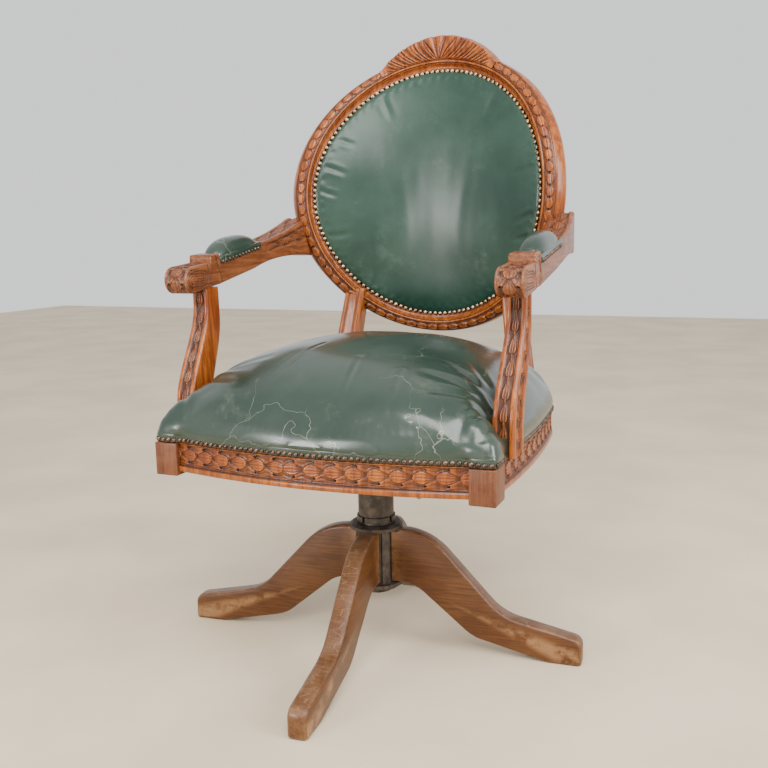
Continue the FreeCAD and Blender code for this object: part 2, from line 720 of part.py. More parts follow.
def side_rail(name, side):
    """A side rail bows out along the seat and turns in at the rear to meet the stump."""
    body = new_body(name)
    start = "-BlockFront + BlockDeep"
    turn = side

    def section(tag, step, lift):
        s = "%d * " % side
        corners = [
            (s + "(SideFront - %s)" % step, start), (s + "(SideWaist - %s)" % step, "WaistBack"),
            (s + "StumpSide", "StumpMiddle - %s" % step),
            (s + "StumpSide", "StumpMiddle - RailThick"),
            (s + "(SideWaist - RailThick)", "WaistBack"), (s + "(SideFront - RailThick)", start)]
        long_half = "(WaistBack + BlockFront - BlockDeep) / 2"
        bow = "((%s)^2 + SideBow^2) / (2 * SideBow)" % long_half
        corner_half = math.hypot(mm("SideWaist - StumpSide"), mm("StumpMiddle - WaistBack")) / 2
        curl = "(%g^2 + TurnBow^2) / (2 * TurnBow)" % corner_half
        return outline(body, "XY_Plane", name + tag, corners,
                       {0: (bow, -turn), 1: (curl, -turn), 3: (curl, turn), 4: (bow, turn)}, lift)

    pad(body, section("_band", "0", "RailFoot"), name + "_lower", "RailShow")
    pad(body, section("_tack", "LeatherStep", "RailFoot + RailShow"), name + "_upper", "RailHigh - RailShow")
    return body


SIDE_RAILS = [side_rail("side_rail_right", 1), side_rail("side_rail_left", -1)]


def rear_rail():
    body = new_body("rear_rail")
    half = "StumpSide - StumpWide"
    radius = "((%s)^2 + RearBow^2) / (2 * RearBow)" % half
    face = "StumpFront + StumpDeep - LeatherStep"

    def section(tag, step, lift):
        return outline(body, "XY_Plane", tag, [
            ("-(%s)" % half, "%s - %s" % (face, step)), (half, "%s - %s" % (face, step)),
            (half, face + " - RailThick"), ("-(%s)" % half, face + " - RailThick")],
            {0: (radius, 1), 2: (radius, -1)}, lift)

    pad(body, section("RearBand", "0", "RailFoot"), "RearLower", "RailShow")
    pad(body, section("RearTack", "LeatherStep", "RailFoot + RailShow"), "RearUpper", "RailHigh - RailShow")
    return body


REAR_RAIL = rear_rail()


def corner_brace(name, side):
    """A triangular block glued and screwed into a front corner of the frame, above the straps."""
    body = new_body(name)
    s = "%d * " % side
    x0 = s + "(SideFront - RailThick - SeatGap)"
    x1 = s + "(SideFront - RailThick - SeatGap - BraceLeg)"
    y0 = "-BlockFront + BlockDeep"
    y1 = "-BlockFront + BlockDeep + BraceLeg"
    corners = [(x0, y0), (x1, y0), (x0, y1)]
    low = "RailFoot + BearerHigh + WebThick * 2 + SeatGap"
    sketch = outline(body, "XY_Plane", name + "_section", corners, lift=low)
    pad(body, sketch, name + "_block", "BraceHigh")


for side, hand in ((1, "right"), (-1, "left")):
    corner_brace("corner_brace_front_" + hand, side)


def bearer(name, place_y, rails):
    """An oak cross member between the side rails: the seat iron is screwed to it."""
    body = new_body(name, whole=False)
    half = "SideFront - RailThick / 2"
    near = "%s - BearerWide / 2" % place_y
    far = "%s + BearerWide / 2" % place_y
    corners = [("-(%s)" % half, near), (half, near), (half, far), ("-(%s)" % half, far)]
    sketch = outline(body, "XY_Plane", name + "_plan", corners, lift="RailFoot")
    pad(body, sketch, name + "_board", "BearerHigh")
    for i, x in enumerate(("IronReach", "-IronReach")):
        hole = circle(body, "XY_Plane", "%s_hole%d" % (name, i), x, place_y, "ScrewHole", "RailFoot")
        pocket(body, hole, "%s_bore%d" % (name, i), "ScrewLength - IronThick + 1", back=True)
    cut_from(body, rails, name)


bearer("bearer_front", "-BearerPlace", SIDE_RAILS)
bearer("bearer_rear", "BearerPlace", SIDE_RAILS)


# Back: a frame of four curved pieces round the leather

def back_frame(turn):
    """Point on the edge of the leather, and the directions out of the frame and into its thickness."""
    wide = mm("BackWide")
    high = mm("BackHigh")
    wrap = mm("BackWrap")
    lean = math.tan(math.radians(mm("BackLean")))
    x = wide * math.cos(turn)
    rise = high * math.sin(turn)
    y = mm("BackPlace") - wrap + math.sqrt(wrap**2 - x**2) + rise * lean
    deep = V(x / wrap, math.sqrt(1 - (x / wrap) ** 2), 0)
    across = V(deep.y, -deep.x, 0)
    upward = V(0, lean, 1).normalize()
    out = (across * (math.cos(turn) / wide) + upward * (math.sin(turn) / high)).normalize()
    deep = (deep - out * deep.dot(out)).normalize()
    return V(x, y, mm("BackMiddle") + rise), out, deep


def crest_rise(turn):
    """The crest swells from nothing at its ends to its height in the middle."""
    half = mm("CrestHalf") / mm("BackWide")
    away = abs(math.cos(turn)) / half
    if math.sin(turn) < 0 or away >= 1:
        return 0
    return mm("CrestHigh") * (1 - away**2) ** 0.95


def frame_section(turn):
    """Across the frame: a ledge for the leather, a cove and a round outer roll."""
    spot, out, deep = back_frame(turn)
    lip = mm("RingLip")
    ledge = mm("LedgeDeep")
    wide = mm("RingWide")
    thick = mm("RingDeep")
    rise = crest_rise(turn)

    def at(g, d):
        return spot + out * g + deep * d

    return [
        at(wide - 6, thick), at(-lip, thick), at(-lip, ledge), at(lip - 1, ledge), at(lip, 2), at(lip + 8, 3),
        at(wide - 19, -4), at(wide - 17, -2), at(wide - 7, 2), at(wide - 1, 12), at(wide - 1 + rise, 14),
        at(wide + rise, 28), at(wide, 30)]


# The joints of the frame, in degrees round it from the right, and the flats each piece is shaped with
FRAME = (("back_stile_right", -35, 45, 10), ("back_crest_rail", 45, 135, 14),
         ("back_stile_left", 135, 215, 10), ("back_bottom_rail", 215, 325, 12))


def frame_turns(first, last, steps):
    return [math.radians(first + (last - first) * i / steps) for i in range(steps + 1)]


RING = {name: node(plain(name, skin([frame_section(turn) for turn in frame_turns(*spread)])), name)
        for name, *spread in FRAME}


def back_ring(g, d):
    """A loop round the back, g outside the leather's edge and d into the thickness."""
    loop = []
    for name, *spread in FRAME:
        for turn in frame_turns(*spread)[:-1]:
            spot, out, deep = back_frame(turn)
            loop.append(spot + out * g + deep * d)
    return loop


def inner_ring(share, d):
    """A smaller loop inside it, on the curve of the back, d into the thickness."""
    loop = []
    wrap = mm("BackWrap")
    for name, *spread in FRAME:
        for turn in frame_turns(*spread)[:-1]:
            x = share * mm("BackWide") * math.cos(turn)
            rise = share * mm("BackHigh") * math.sin(turn)
            deep = V(x / wrap, math.sqrt(1 - (x / wrap) ** 2), 0)
            lean = rise * math.tan(math.radians(mm("BackLean")))
            loop.append(V(0, mm("BackPlace") - wrap + lean, mm("BackMiddle") + rise) + deep * (wrap + d))
    return loop


def back_pad():
    """The stuffed leather of the back: hollow from side to side, crowned, and let into the ledge."""
    gap = mm("SeatGap")
    lip = mm("RingLip")
    ledge = mm("LedgeDeep") - gap
    puff = mm("BackPuff")
    stuffing = mm("BackStuffing")
    rings = [inner_ring(share, stuffing) for share in (0, 0.5)]
    edge = lip - 1 - gap
    rings += [back_ring(-lip - gap, stuffing - 6), back_ring(-lip - gap, ledge), back_ring(edge, ledge)]
    rings += [back_ring(edge, 2)]
    rings += [inner_ring(share, -puff * (1 - share**2) ** 0.7) for share in (0.94, 0.8, 0.6, 0.35, 0)]
    return node(plain("back_pad_front", skin(rings)), "back_pad_front")


back_pad()


def back_panel():
    """The outside back: a leather panel nailed over the rear of the frame."""
    near = mm("RingDeep + SeatGap")
    far = near + mm("PanelThick")
    lip = mm("RingLip")
    rings = [inner_ring(share, near) for share in (0, 0.33, 0.66)]
    rings += [back_ring(-lip - 1, near), back_ring(lip, near), back_ring(lip, far)]
    rings += [inner_ring(share, far) for share in (0.66, 0.33, 0)]
    return node(plain("back_panel_rear", skin(rings)), "back_panel_rear")


back_panel()


# Uprights, posts and arms

def upright_box(x0, x1, y0, y1, height):
    return [V(x0, y0, height), V(x1, y0, height), V(x1, y1, height), V(x0, y1, height)]


def rear_upright(name, side):
    """A rear leg sawn off below the rail: it leans in and back to carry the frame."""
    outer = mm("StumpSide")
    front = mm("StumpFront")
    low = mm("BlockFoot")
    rail = mm("RailFoot + RailHigh")
    top = mm("UprightTop")
    stump = Part.makeBox(mm("StumpWide"), mm("StumpDeep"), rail - low, V(outer - mm("StumpWide"), front, low))
    sections = []
    for i in range(6):
        part = i / 5
        ease = part**1.1
        x1 = outer - 1 - mm("UprightInset") * ease
        wide = mm("StumpWide") + (mm("UprightWide") - mm("StumpWide")) * min(1, part * 3)
        deep = mm("StumpDeep") + (mm("UprightDeep") - mm("StumpDeep")) * min(1, part * 3)
        y0 = front + 1 + mm("UprightRake") * ease
        sections.append(upright_box(x1 - wide + 2, x1, y0, y0 + deep - 2, rail + (top - rail) * part))
    shape = stump.fuse(skin(sections)).removeSplitter()
    if side < 0:
        shape = shape.mirror(V(0, 0, 0), V(1, 0, 0))
    shape = shape.cut(RING["back_bottom_rail"].Shape)
    below = min(shape.Solids, key=lambda solid: solid.BoundBox.ZMin)
    return node(plain(name, below), name)


UPRIGHTS = [rear_upright("rear_upright_right", 1), rear_upright("rear_upright_left", -1)]


def armrest(name, side, stile):
    """Sawn to its side profile, then to its plan, and let into the frame of the back."""
    body = new_body(name, whole=False)
    bed = "-StepFront + StepLength"
    bed_end = "-StepFront + StepLength + PadLength"
    bed_low = "StepTop - PadBed"
    bed_high = "StepTop - PadBed + PadRise"
    middle = "-KnobFront + KnobRadius"
    corners = [
        (middle, "KnobHeight + KnobRadius"), ("-StepFront", "StepTop - StepHigh"), ("-StepFront", "StepTop"),
        (bed, "StepTop + 2"), (bed, bed_low), (bed_end, bed_high), (bed_end, bed_high + " + PadStop"),
        ("ArmTurn", bed_high + " + PadStop + 1"), ("ArmRear", "ArmRearTop"), ("ArmRear", "ArmRearFoot"),
        (bed_end + " - 20", bed_high + " - ArmDepth"), (bed + " - 5", bed_low + " - ArmDepth"),
        (middle, "KnobHeight - KnobRadius"), ("-KnobFront", "KnobHeight")]
    bends = {7: ("500", -1), 9: ("500", -1), 12: ("KnobRadius", 1), 13: ("KnobRadius", 1)}
    profile = outline(body, "YZ_Plane", name + "_profile", corners, bends, "%d * ArmOuter" % side)
    pad(body, profile, name + "_board", "ArmThick + ArmInset", back=side > 0)
    s = "%d * " % side
    inner = "(ArmOuter - ArmThick)"
    waste = [
        (s + "(ArmOuter - ArmThick - ArmInset - 5)", "-KnobFront - 5"), (s + inner, "-KnobFront - 5"),
        (s + inner, "ArmTurn"), (s + "(ArmOuter - ArmThick - ArmInset)", "ArmRear + 1"),
        (s + "(ArmOuter - ArmThick - ArmInset - 5)", "ArmRear + 1")]
    plan = outline(body, "XY_Plane", name + "_inner", waste, {2: ("450", -side)}, "ArmRearTop + 20")
    pocket(body, plan, name + "_hollow")
    waste = [
        (s + "ArmOuter", "ArmTurn"), (s + "(ArmOuter + 5)", "ArmTurn"), (s + "(ArmOuter + 5)", "ArmRear + 1"),
        (s + "(ArmOuter - ArmInset * 0.7)", "ArmRear + 1")]
    plan = outline(body, "XY_Plane", name + "_outer", waste, {3: ("450", -side)}, "ArmRearTop + 20")
    pocket(body, plan, name + "_round")
    return cut_from(body, [stile], name)


ARMRESTS = [armrest("armrest_right", 1, RING["back_stile_right"]),
            armrest("armrest_left", -1, RING["back_stile_left"])]


def swell(part, start, stop):
    """From 0 to 1 between start and stop, level at both ends."""
    share = min(1, max(0, (part - start) / (stop - start)))
    return share * share * (3 - 2 * share)


def arm_post(name, side, arm, rail):
    """A post that sweeps back from the side rail to the arm in an S, its front later than its rear."""
    low = mm("RailFoot + RailShow")
    top = mm("StepTop - PadBed - ArmDepth / 2")
    foot = -mm("PostFootFront")
    head = -mm("PostTopFront")
    foot_rear = foot + mm("PostFootDeep")
    head_rear = head + mm("PostTopDeep")
    sections = []
    steps = 9
    for i in range(steps + 1):
        part = i / steps
        wide = mm("PostFootWide") + (mm("PostTopWide") - mm("PostFootWide")) * part
        front = foot + (head - foot) * swell(part, 0.18, 0.8)
        rear = foot_rear + (head_rear - foot_rear) * swell(part, 0.12, 0.72)
        outer = mm("PostOuter")
        sections.append(upright_box(outer - wide, outer, front, rear, low + (top - low) * part))
    shape = skin(sections)
    if side < 0:
        shape = shape.mirror(V(0, 0, 0), V(1, 0, 0))
    return cut_from(plain(name + "_blank", shape), [arm, rail], name)


POSTS = [arm_post("arm_post_right", 1, ARMRESTS[0], SIDE_RAILS[0]),
         arm_post("arm_post_left", -1, ARMRESTS[1], SIDE_RAILS[1])]


def arm_pad(name, side):
    """A small stuffed pad, crowned along and across."""
    gap = mm("SeatGap")
    y0 = mm("-StepFront + StepLength") + gap
    length = mm("PadLength") - 2 * gap
    slope = mm("PadRise") / mm("PadLength")
    x0 = mm("ArmOuter - ArmThick") + 2
    x1 = mm("ArmOuter") - 2
    sections = []
    steps = 8
    for i in range(steps + 1):
        part = (1 - math.cos(math.pi * i / steps)) / 2
        y = y0 + length * part
        bed = mm("StepTop - PadBed") + (y - mm("-StepFront + StepLength")) * slope + gap
        crown = 8 + (mm("PadCrown") - 8) * (4 * part * (1 - part)) ** 0.6
        edge = bed + crown * 0.45
        near = V(side * x0, y, edge)
        far = V(side * x1, y, edge)
        sections.append([V(side * x0, y, bed), V(side * x1, y, bed), far]
                        + chords(far, V(side * (x0 + x1) / 2, y, bed + crown), near, 4))
    return node(plain(name, skin(sections)), name)


arm_pad("arm_pad_right", 1)
arm_pad("arm_pad_left", -1)


# Seat upholstery

def webbing():
    """Straps from rail to rail on the bearers, and straps across them."""
    wide = mm("WebWide")
    thick = mm("WebThick")
    low = mm("RailFoot + BearerHigh")
    pitch = mm("WebPitch")
    made = []
    for k in (-1, 0, 1):
        along = Part.makeBox(wide, mm("RailFront + StumpFront + RailThick"), thick,
                             V(k * pitch - wide / 2, -mm("RailFront"), low))
        made.append(along.cut(FRONT_RAIL.Shape).cut(REAR_RAIL.Shape))
        half = mm("SideFront - RailThick / 2")
        across = Part.makeBox(half * 2, wide, thick, V(-half, k * pitch - wide / 2, low + thick))
        made.append(across.cut(SIDE_RAILS[0].Shape).cut(SIDE_RAILS[1].Shape))
    solids = []
    for shape in made:
        solids.append(max(shape.Solids, key=lambda solid: solid.Volume))
    return node(plain("webbing", Part.makeCompound(solids)), "webbing")


webbing()


def seat_springs():
    """Hourglass springs under load, as closed waisted forms, on the crossings of the straps."""
    low = mm("RailFoot + BearerHigh + WebThick * 2")
    top = mm("RailFoot + RailHigh + CushionWell - SeatGap")
    wide = mm("SpringRadius")
    waist = mm("SpringWaist")
    middle = (low + top) / 2

    coils = ((wide, low), (waist, middle), (wide, top))
    one = skin([[v.Point for v in polygon(radius, height, 10).Vertexes[:10]] for radius, height in coils])
    pitch = mm("WebPitch")
    spots = [(0, 0), (1, 1), (1, -1), (-1, 1), (-1, -1)]
    made = [one.translated(V(x * pitch, y * pitch, 0)) for x, y in spots]
    return node(plain("seat_springs", Part.makeCompound(made)), "seat_springs")


seat_springs()


def seat_edge(y):
    """Half width of the seat leather where a line across the seat meets the rails."""
    step = mm("LeatherStep")
    half = mm("SeatWide / 2 - BlockWide")
    front = mm("RailFront")
    if y < -front:
        return half * math.sqrt(max(0.0, (y + front + mm("FrontBow") - step) / mm("FrontBow")))
    start = -mm("BlockFront - BlockDeep")
    if y < start:
        return mm("SeatWide / 2") - step
    waist = mm("WaistBack")
    if y < waist:
        part = (y - start) / (waist - start)
        bow = mm("SideBow") * 4 * part * (1 - part)
        return mm("SideFront") + mm("SideWaist - SideFront") * part + bow - step
    part = (y - waist) / (mm("StumpMiddle") - waist)
    return mm("SideWaist") - mm("SideWaist - StumpSide") * min(part, 1) ** 1.8 - step


def crowned(wide, edge, top, count):
    """Points over a full, flat-topped curve from one side of the seat to the other."""
    spots = []
    for k in range(count + 1):
        share = math.cos(math.pi * k / count)
        rise = max(0, 1 - abs(share) ** 2.6) ** 0.8
        spots.append((wide * share, edge + (top - edge) * rise))
    return spots


def seat_cushion():
    """Sprung seat: low and rolled along the front, domed in the middle, notched round the posts."""
    gap = mm("SeatGap")
    low = mm("RailFoot + RailHigh") + gap
    first = -mm("RailFront + FrontBow - LeatherStep") + 0.6
    front = -mm("RailFront") + 0.5
    last = mm("StumpMiddle") - 4
    stations = [first + (front - first) * share for share in (0, 0.2, 0.55)]
    stations += [front + (last - front) * k / 9 for k in range(10)]
    centre = (first + last) / 2
    reach = (last - first) / 2 + 3
    sections = []
    for y in stations:
        wide = seat_edge(y)
        dome = max(0.0, 1 - abs((y - centre) / reach) ** 2.4) ** 0.8
        edge = low + mm("CushionEdge") * (0.72 + 0.28 * min(1, (y - first) / 12))
        top = edge + max(2, 1 + mm("CushionCrown - CushionEdge") * dome)
        middle = (low + edge) / 2
        ring = [V(-wide, y, low), V(wide, y, low), V(wide + 3, y, middle)]
        ring += [V(x, y, z) for x, z in crowned(wide - 2, edge, top, 10)]
        sections.append(ring + [V(-wide - 3, y, middle)])
    shape = skin(sections)
    well = mm("WebPitch + SpringRadius") + 6
    shape = shape.cut(Part.makeBox(2 * well, 2 * well, mm("CushionWell"), V(-well, -well, low - gap)))
    room = mm("PostFootWide")
    high = mm("CushionCrown")
    post = Part.makeBox(room * 2, mm("PostFootDeep") + 22, high,
                        V(mm("PostOuter") - room - 2, -mm("PostFootFront") - 4, low - 1))
    stump = Part.makeBox(mm("StumpWide") * 2, mm("StumpDeep") * 2, high,
                         V(mm("StumpSide - StumpWide") - 3, mm("StumpFront") - 3, low - 1))
    for tool in (post, stump):
        shape = shape.cut(tool).cut(tool.mirror(V(0, 0, 0), V(1, 0, 0)))
    body = max(shape.Solids, key=lambda solid: solid.Volume)
    return node(plain("seat_cushion", body), "seat_cushion")


seat_cushion()


def torn_webbing():
    """A torn strap end that hangs from the front bearer."""
    body = new_body("torn_webbing")
    left = "IronReach - 14"
    wide = "TornWide"
    foot = "RailFoot - TornDrop"
    top = "RailFoot + BearerHigh / 2"
    sketch = outline(body, "XZ_Plane", "TornOutline", [
        (left, top), (left, foot + " + 12"), ("%s + %s * 0.3" % (left, wide), foot),
        ("%s + %s * 0.55" % (left, wide), foot + " + 9"), ("%s + %s * 0.85" % (left, wide), foot + " + 4"),
        ("%s + %s" % (left, wide), foot + " + 22"), ("%s + %s" % (left, wide), top)],
        {1: ("60", -1), 3: ("40", -1)}, "BearerPlace + BearerWide / 2 + SeatGap")
    pad(body, sketch, "TornStrap", "WebThick")


torn_webbing()


def finish():
    doc.recompute()
    for item in doc.Objects:
        if "Invalid" in item.State or "Error" in item.State:
            raise RuntimeError("%s (%s) is %s" % (item.Label, item.Name, item.State))
    os.makedirs("parts", exist_ok=True)
    for piece in NODES:
        shape = piece.Shape
        if shape.isNull() or not shape.isValid() or not shape.Solids:
            raise RuntimeError(piece.Label + " is not a sound solid")
        shape.exportStep("parts/%s.step" % piece.Label)
    print("%d pieces written" % len(NODES))


finish()
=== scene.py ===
import math
import random
import bmesh
import bpy
from mathutils import Matrix, Vector, noise


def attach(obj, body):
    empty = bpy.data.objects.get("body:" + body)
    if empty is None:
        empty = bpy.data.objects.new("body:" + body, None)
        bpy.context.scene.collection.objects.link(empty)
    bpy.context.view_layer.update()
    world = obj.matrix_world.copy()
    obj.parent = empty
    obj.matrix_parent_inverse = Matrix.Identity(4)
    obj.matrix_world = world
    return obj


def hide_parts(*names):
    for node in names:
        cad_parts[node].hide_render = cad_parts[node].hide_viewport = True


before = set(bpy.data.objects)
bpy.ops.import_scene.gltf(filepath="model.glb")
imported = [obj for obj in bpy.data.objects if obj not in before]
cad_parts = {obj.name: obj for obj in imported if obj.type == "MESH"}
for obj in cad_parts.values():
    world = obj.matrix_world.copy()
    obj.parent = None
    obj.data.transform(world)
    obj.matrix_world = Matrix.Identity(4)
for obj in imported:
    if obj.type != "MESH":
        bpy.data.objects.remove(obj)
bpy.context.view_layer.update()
random.seed(7)
print("frame loaded")


# Small helpers

def ease(a, b, x):
    t = min(1, max(0, (x - a) / (b - a)))
    return t * t * (3 - 2 * t)


def mix(a, b, t):
    return a + (b - a) * t


def follow(knots, t):
    t = min(max(t, 0), 1) * (len(knots) - 1)      # point on a line of knots, t from 0 to 1
    i = min(int(t), len(knots) - 2)
    return [mix(a, b, t - i) for a, b in zip(knots[i], knots[i + 1])]


def addPiece(name, bm, material, body, replaced=(), smooth=True):
    bmesh.ops.recalc_face_normals(bm, faces=bm.faces)
    mesh = bpy.data.meshes.new(name)
    bm.to_mesh(mesh)
    bm.free()
    mesh.materials.append(material)
    for face in mesh.polygons:
        face.use_smooth = smooth
    piece = bpy.data.objects.new(name, mesh)
    bpy.context.scene.collection.objects.link(piece)
    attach(piece, body)
    if replaced:
        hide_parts(*replaced)
    return piece


def gridMesh(across, along, place, bm=None):
    bm = bm or bmesh.new()      # a grid put in place by place(u, v), which may also say how hollow a spot is, which sets how much painted shade it gets
    hollow = bm.verts.layers.float.get("hollow") or bm.verts.layers.float.new("hollow")
    verts = bmesh.ops.create_grid(bm, x_segments=across, y_segments=along, size=0.5)["verts"]
    for vert in verts:
        spot = place(vert.co.x + 0.5, vert.co.y + 0.5)
        vert.co, vert[hollow] = spot if isinstance(spot, tuple) else (spot, 0)
    bmesh.ops.remove_doubles(bm, verts=verts, dist=0.00002)
    return bm


def closeEnds(bm):
    bmesh.ops.holes_fill(bm, edges=[edge for edge in bm.edges if edge.is_boundary], sides=0)


def nearest(rows, part):
    return rows[min(int(round(part * (len(rows) - 1))), len(rows) - 1)]


def bell(x, wide):
    return math.exp(-(x / wide) ** 2)


# painted shade for carved relief: full in the deepest hollows, none on the raised parts
def hollowOf(height):
    return 1 - ease(-0.40, 0.50, height)


def ballMesh(around, rings, place):
    bm = bmesh.new()      # a closed form: turn runs round it, part runs from pole to pole
    bmesh.ops.create_uvsphere(bm, u_segments=around, v_segments=rings, radius=1)
    for vert in bm.verts:
        turn = math.atan2(vert.co.y, vert.co.x)
        vert.co = place(turn, math.acos(max(-1, min(1, vert.co.z))) / math.pi)
    return bm


def domes(spots, radius, height):
    bm = bmesh.new()      # nail heads: half a small ball at each spot, pointing along its normal
    for spot, normal in spots:
        turn = normal.to_track_quat("Z", "Y").to_matrix().to_4x4()
        form = Matrix.Diagonal((1, 1, height / radius, 1))
        bmesh.ops.create_uvsphere(bm, u_segments=9, v_segments=6, radius=radius * random.uniform(0.94, 1.06),
                                  matrix=Matrix.Translation(spot) @ turn @ form)
    return bm


# Materials

def newGroup(name, inputs, outputs):
    group = bpy.data.node_groups.new(name, "ShaderNodeTree")
    for label, kind, value in inputs:
        socket = group.interface.new_socket(name=label, in_out="INPUT", socket_type=kind)
        socket.default_value = value
    for label, kind in outputs:
        group.interface.new_socket(name=label, in_out="OUTPUT", socket_type=kind)
    return group, group.nodes.new("NodeGroupInput"), group.nodes.new("NodeGroupOutput")


def addNode(tree, kind, **values):
    node = tree.nodes.new(kind)
    for key, value in values.items():
        if hasattr(node, key) and not isinstance(value, dict):
            setattr(node, key, value)
    for key, value in values.get("inputs", {}).items():
        node.inputs[key].default_value = value
    return node


def blendColors(tree, factor, first, second, mode="MIX"):
    node = tree.nodes.new("ShaderNodeMix")
    node.data_type = "RGBA"
    node.blend_type = mode
    for socket, value in ((node.inputs[0], factor), (node.inputs[6], first), (node.inputs[7], second)):
        if isinstance(value, (int, float)):
            socket.default_value = value
        elif isinstance(value, tuple):
            socket.default_value = (*value, 1)
        else:
            tree.links.new(value, socket)
    return node.outputs[2]


def math2(tree, operation, first, second=0.0):
    node = tree.nodes.new("ShaderNodeMath")
    node.operation = operation
    for socket, value in ((node.inputs[0], first), (node.inputs[1], second)):
        if isinstance(value, (int, float)):
            socket.default_value = value
        else:
            tree.links.new(value, socket)
    return node.outputs[0]


def ramp(tree, value, low, high):
    node = tree.nodes.new("ShaderNodeMapRange")
    node.interpolation_type = "SMOOTHSTEP"
    node.inputs["From Min"].default_value = low
    node.inputs["From Max"].default_value = high
    tree.links.new(value, node.inputs["Value"])
    return node.outputs["Result"]


def addNoise(tree, place, **inputs):
    node = addNode(tree, "ShaderNodeTexNoise", inputs=inputs)
    tree.links.new(place, node.inputs["Vector"])
    return node.outputs["Fac"]


def addEdges(tree, place, scale):
    node = addNode(tree, "ShaderNodeTexVoronoi", feature="DISTANCE_TO_EDGE", inputs={"Scale": scale})
    tree.links.new(place, node.inputs["Vector"])
    return node.outputs["Distance"]


def makeGrainGroup():
    group, start, end = newGroup("timberGrain", [
        ("Vector", "NodeSocketVector", (0, 0, 0)), ("Stretch", "NodeSocketVector", (1, 1, 1)),
        ("Scale", "NodeSocketFloat", 60)],
        [("Grain", "NodeSocketFloat"), ("Cloud", "NodeSocketFloat"), ("Pores", "NodeSocketFloat")])
    link = group.links.new
    scaled = addNode(group, "ShaderNodeVectorMath", operation="MULTIPLY")
    link(start.outputs["Vector"], scaled.inputs[0])
    link(start.outputs["Stretch"], scaled.inputs[1])
    fine = addNoise(group, scaled.outputs[0], Detail=5, Roughness=0.62, Distortion=0.6)
    link(start.outputs["Scale"], fine.node.inputs["Scale"])
    link(fine, end.inputs["Grain"])
    link(addNoise(group, start.outputs["Vector"], Scale=9, Detail=3), end.inputs["Cloud"])
    pores = addNoise(group, scaled.outputs[0], Detail=2, Roughness=0.8)
    link(math2(group, "MULTIPLY", start.outputs["Scale"], 4.5), pores.node.inputs["Scale"])
    link(ramp(group, pores, 0.56, 0.72), end.inputs["Pores"])
    return group


# Painted shade and wear: the first output darkens where ambient occlusion finds recesses and where carved hollows
# lie, as painted shade; Rub marks worn edges
def makeShadeAndWearGroup():
    group, start, end = newGroup("recessPaintedShade", [
        ("Distance", "NodeSocketFloat", 0.008), ("Vector", "NodeSocketVector", (0, 0, 0))],
        [("PaintedShade", "NodeSocketFloat"), ("Rub", "NodeSocketFloat")])
    link = group.links.new
    shade = addNode(group, "ShaderNodeAmbientOcclusion", samples=6, only_local=True)
    link(start.outputs["Distance"], shade.inputs["Distance"])
    shadeAmount = ramp(group, math2(group, "SUBTRACT", 1.0, shade.outputs["AO"]), 0.06, 0.55)
    # carved hollows stored on the mesh add more painted shade
    carved = addNode(group, "ShaderNodeAttribute", attribute_name="hollow")
    carved = math2(group, "MULTIPLY", carved.outputs["Fac"], 0.85)
    link(math2(group, "MAXIMUM", shadeAmount, carved), end.inputs["PaintedShade"])
    shape = addNode(group, "ShaderNodeNewGeometry")
    patches = addNoise(group, start.outputs["Vector"], Scale=30, Detail=4, Roughness=0.7)
    edge = ramp(group, shape.outputs["Pointiness"], 0.52, 0.60)
    link(math2(group, "MULTIPLY", edge, ramp(group, patches, 0.35, 0.6)), end.inputs["Rub"])
    return group


grainGroup = makeGrainGroup()
shadeAndWearGroup = makeShadeAndWearGroup()


def startMaterial(name, roughness, metallic=0.0, coat=0.0, coatRoughness=0.2):
    material = bpy.data.materials.new(name)
    material.use_nodes = True
    tree = material.node_tree
    shader = tree.nodes["Principled BSDF"]
    shader.inputs["Roughness"].default_value = roughness
    shader.inputs["Metallic"].default_value = metallic
    shader.inputs["Coat Weight"].default_value = coat
    shader.inputs["Coat Roughness"].default_value = coatRoughness
    shader.inputs["Specular IOR Level"].default_value = 0.28 if metallic == 0 else 0.5
    place = tree.nodes.new("ShaderNodeTexCoord").outputs["Object"]
    return material, tree, shader, place


# the node group that paints shade in recesses and marks worn edges
def addShadeAndWear(tree, place, reach):
    shadeAndWear = addNode(tree, "ShaderNodeGroup", node_tree=shadeAndWearGroup)
    tree.links.new(place, shadeAndWear.inputs["Vector"])
    shadeAndWear.inputs["Distance"].default_value = reach
    return shadeAndWear.outputs


def addBump(tree, shader, height, strength, distance=0.0005):
    bump = addNode(tree, "ShaderNodeBump", inputs={"Strength": strength, "Distance": distance})
    tree.links.new(height, bump.inputs["Height"])
    tree.links.new(bump.outputs["Normal"], shader.inputs["Normal"])


